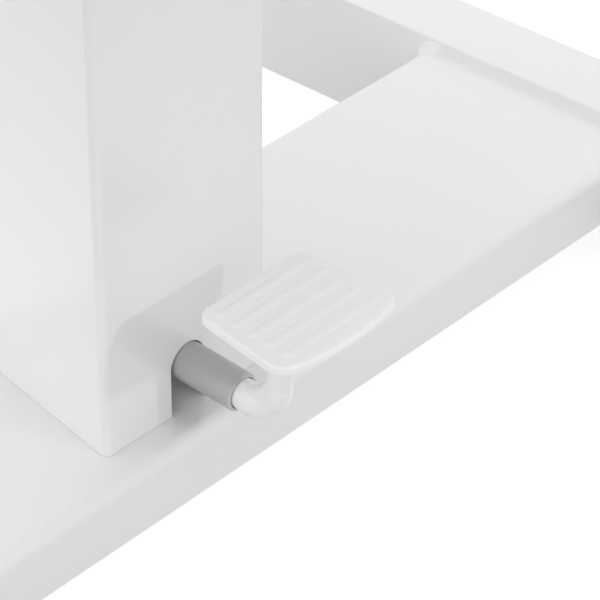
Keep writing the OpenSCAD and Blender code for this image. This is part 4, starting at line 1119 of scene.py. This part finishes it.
buffer_edge = 0.0012
low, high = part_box("stop_buffers")
buffer_x = 0.012
buffer_r = (high.x - low.x) / 2 - buffer_x
buffer_y = (high.y - low.y) / 2 - buffer_r
profile = [(0.0004, 0)]
profile += [(buffer_r - buffer_edge + p.x, buffer_edge + p.y) for p in arc((0, 0), buffer_edge, 270, 360, 4)]
profile += [(buffer_r, high.z - low.z)]
buffer, buffers = bmesh.new(), bmesh.new()
loft(buffer, turned(profile, Matrix.Translation((-buffer_x, -buffer_y, low.z)), 32))
repeat(buffers, buffer, rubber, 2, (2 * buffer_x, 0, 0), 2, (0, 2 * buffer_y, 0))
add_piece("seat_stop_buffers", buffers, rubber, "carriage", "rubber", "stop_buffers")


# Steel and plastic pieces inside the column and the rails: the gas spring, its bracket, the pedal's pivot and
# the studs of the feet. They are the solids as they are, in zinc, ground steel, black enamel or guide plastic.

bright_steel = finish("bright_steel", (0.72, 0.72, 0.73), 0.2, 900.0, 0.000004, metallic=1.0, stretch=(0.05, 0.05, 1))
spring_black = finish("spring_black", (0.02, 0.02, 0.022), 0.36, 700.0, 0.00002)
by_slot = {"powder_white": powder_white, "cap_white": cap_white, "rubber": rubber, "guide_grey": guide_grey,
           "satin_tube": satin_tube, "pedal_white": pedal_white, "zinc": zinc, "bright_steel": bright_steel,
           "spring_black": spring_black, "seat_white": seat_white, "grip_grey": grip_grey}
for part in frame["record"]["subparts"]:
    solid = frame["nodes"][part["node"]]
    solid.data.materials.clear()
    solid.data.materials.append(by_slot[part["material_slot"]])


# Floor and light: a white studio table that keeps the bench's shadow, white surroundings that are brighter
# above and to the left, a small lamp at the front and a broad one low at the back left, for its glints.

def lamp(name, towards, bearing, height, distance, size, power):
    """A square lamp that shines on a point from a compass bearing and a height angle, in degrees."""
    data = bpy.data.lights.new(name, "AREA")
    data.size = size
    data.energy = power
    turn, lift = math.radians(bearing), math.radians(height)
    way = Vector((math.sin(turn) * math.cos(lift), -math.cos(turn) * math.cos(lift), math.sin(lift)))
    obj = bpy.data.objects.new(name, data)
    obj.location = towards + way * distance
    obj.rotation_euler = way.to_track_quat("Z", "Y").to_euler()
    obj.visible_camera = False
    scene.collection.objects.link(obj)


def seen_directly(tree):
    """1 where a camera, mirror or glass ray meets the surface, else 0."""
    ray = tree.nodes.new("ShaderNodeLightPath")
    seen = ray.outputs["Is Camera Ray"]
    for other in ("Is Glossy Ray", "Is Transmission Ray"):
        seen = math_node(tree, "MAXIMUM", seen, ray.outputs[other])
    return seen


world = bpy.data.worlds.new("studio")
world.use_nodes = True
scene.world = world
nodes, links = world.node_tree.nodes, world.node_tree.links
studio_level = 0.93
studio_slope = 0.458
bright_side = (-0.546, 0.358, 0.758)
way = nodes.new("ShaderNodeTexCoord")
towards_bright = nodes.new("ShaderNodeVectorMath")
towards_bright.operation = "DOT_PRODUCT"
towards_bright.inputs[1].default_value = bright_side
links.new(way.outputs["Generated"], towards_bright.inputs[0])
slope = math_node(world.node_tree, "MULTIPLY_ADD", towards_bright.outputs["Value"], studio_slope, studio_level)
strength = nodes.new("ShaderNodeMix")
links.new(seen_directly(world.node_tree), strength.inputs["Factor"])
links.new(slope, strength.inputs["A"])
strength.inputs["B"].default_value = 1.0
nodes["Background"].inputs["Color"].default_value = (1, 1, 1, 1)
links.new(strength.outputs["Result"], nodes["Background"].inputs["Strength"])

table_white = bpy.data.materials.new("table_white")
table_white.use_nodes = True
nodes, links = table_white.node_tree.nodes, table_white.node_tree.links
nodes.remove(nodes["Principled BSDF"])
matt = nodes.new("ShaderNodeBsdfDiffuse")
matt.inputs["Color"].default_value = (0.5, 0.5, 0.5, 1)
glow = nodes.new("ShaderNodeEmission")
table_glow = 0.8
shown = math_node(table_white.node_tree, "MULTIPLY", seen_directly(table_white.node_tree), table_glow)
links.new(shown, glow.inputs["Strength"])
both = nodes.new("ShaderNodeAddShader")
links.new(matt.outputs[0], both.inputs[0])
links.new(glow.outputs[0], both.inputs[1])
links.new(both.outputs[0], nodes["Material Output"].inputs["Surface"])
table_half = 12.0
bm = bmesh.new()
bmesh.ops.create_grid(bm, x_segments=1, y_segments=1, size=table_half, matrix=Matrix.Translation((0, 0, -0.0005)))
mesh = bpy.data.meshes.new("table")
bm.to_mesh(mesh)
bm.free()
mesh.materials.append(table_white)
table = bpy.data.objects.new("table", mesh)
scene.collection.objects.link(table)

pedal_spot = Vector((0, -column_half_d, 0.11))
lamp("front_lamp", pedal_spot, 13.0, 26.6, 2.5, 0.07, 5.3)
lamp("back_lamp", pedal_spot, -125, 24, 3.0, 0.6, 2.5)
scene.view_settings.view_transform = "Standard"


# Camera: at the photograph's place, high at the front left with a long lens.

camera_spot = Vector((-0.7950, -0.8226, 0.8913))
camera_aim = Vector((0.0908, -0.0342, 0.0719))
camera_roll = math.radians(0.15)
lens_mm = 194.35
camera = bpy.data.objects.new("camera", bpy.data.cameras.new("camera"))
camera.data.lens = lens_mm
camera.data.sensor_width = 36.0
camera.data.clip_start = 0.05
camera.data.clip_end = 100.0
turn = (camera_aim - camera_spot).to_track_quat("-Z", "Y").to_matrix() @ Matrix.Rotation(camera_roll, 3, "Z")
camera.location = camera_spot
camera.rotation_euler = turn.to_euler()
scene.collection.objects.link(camera)
scene.camera = camera
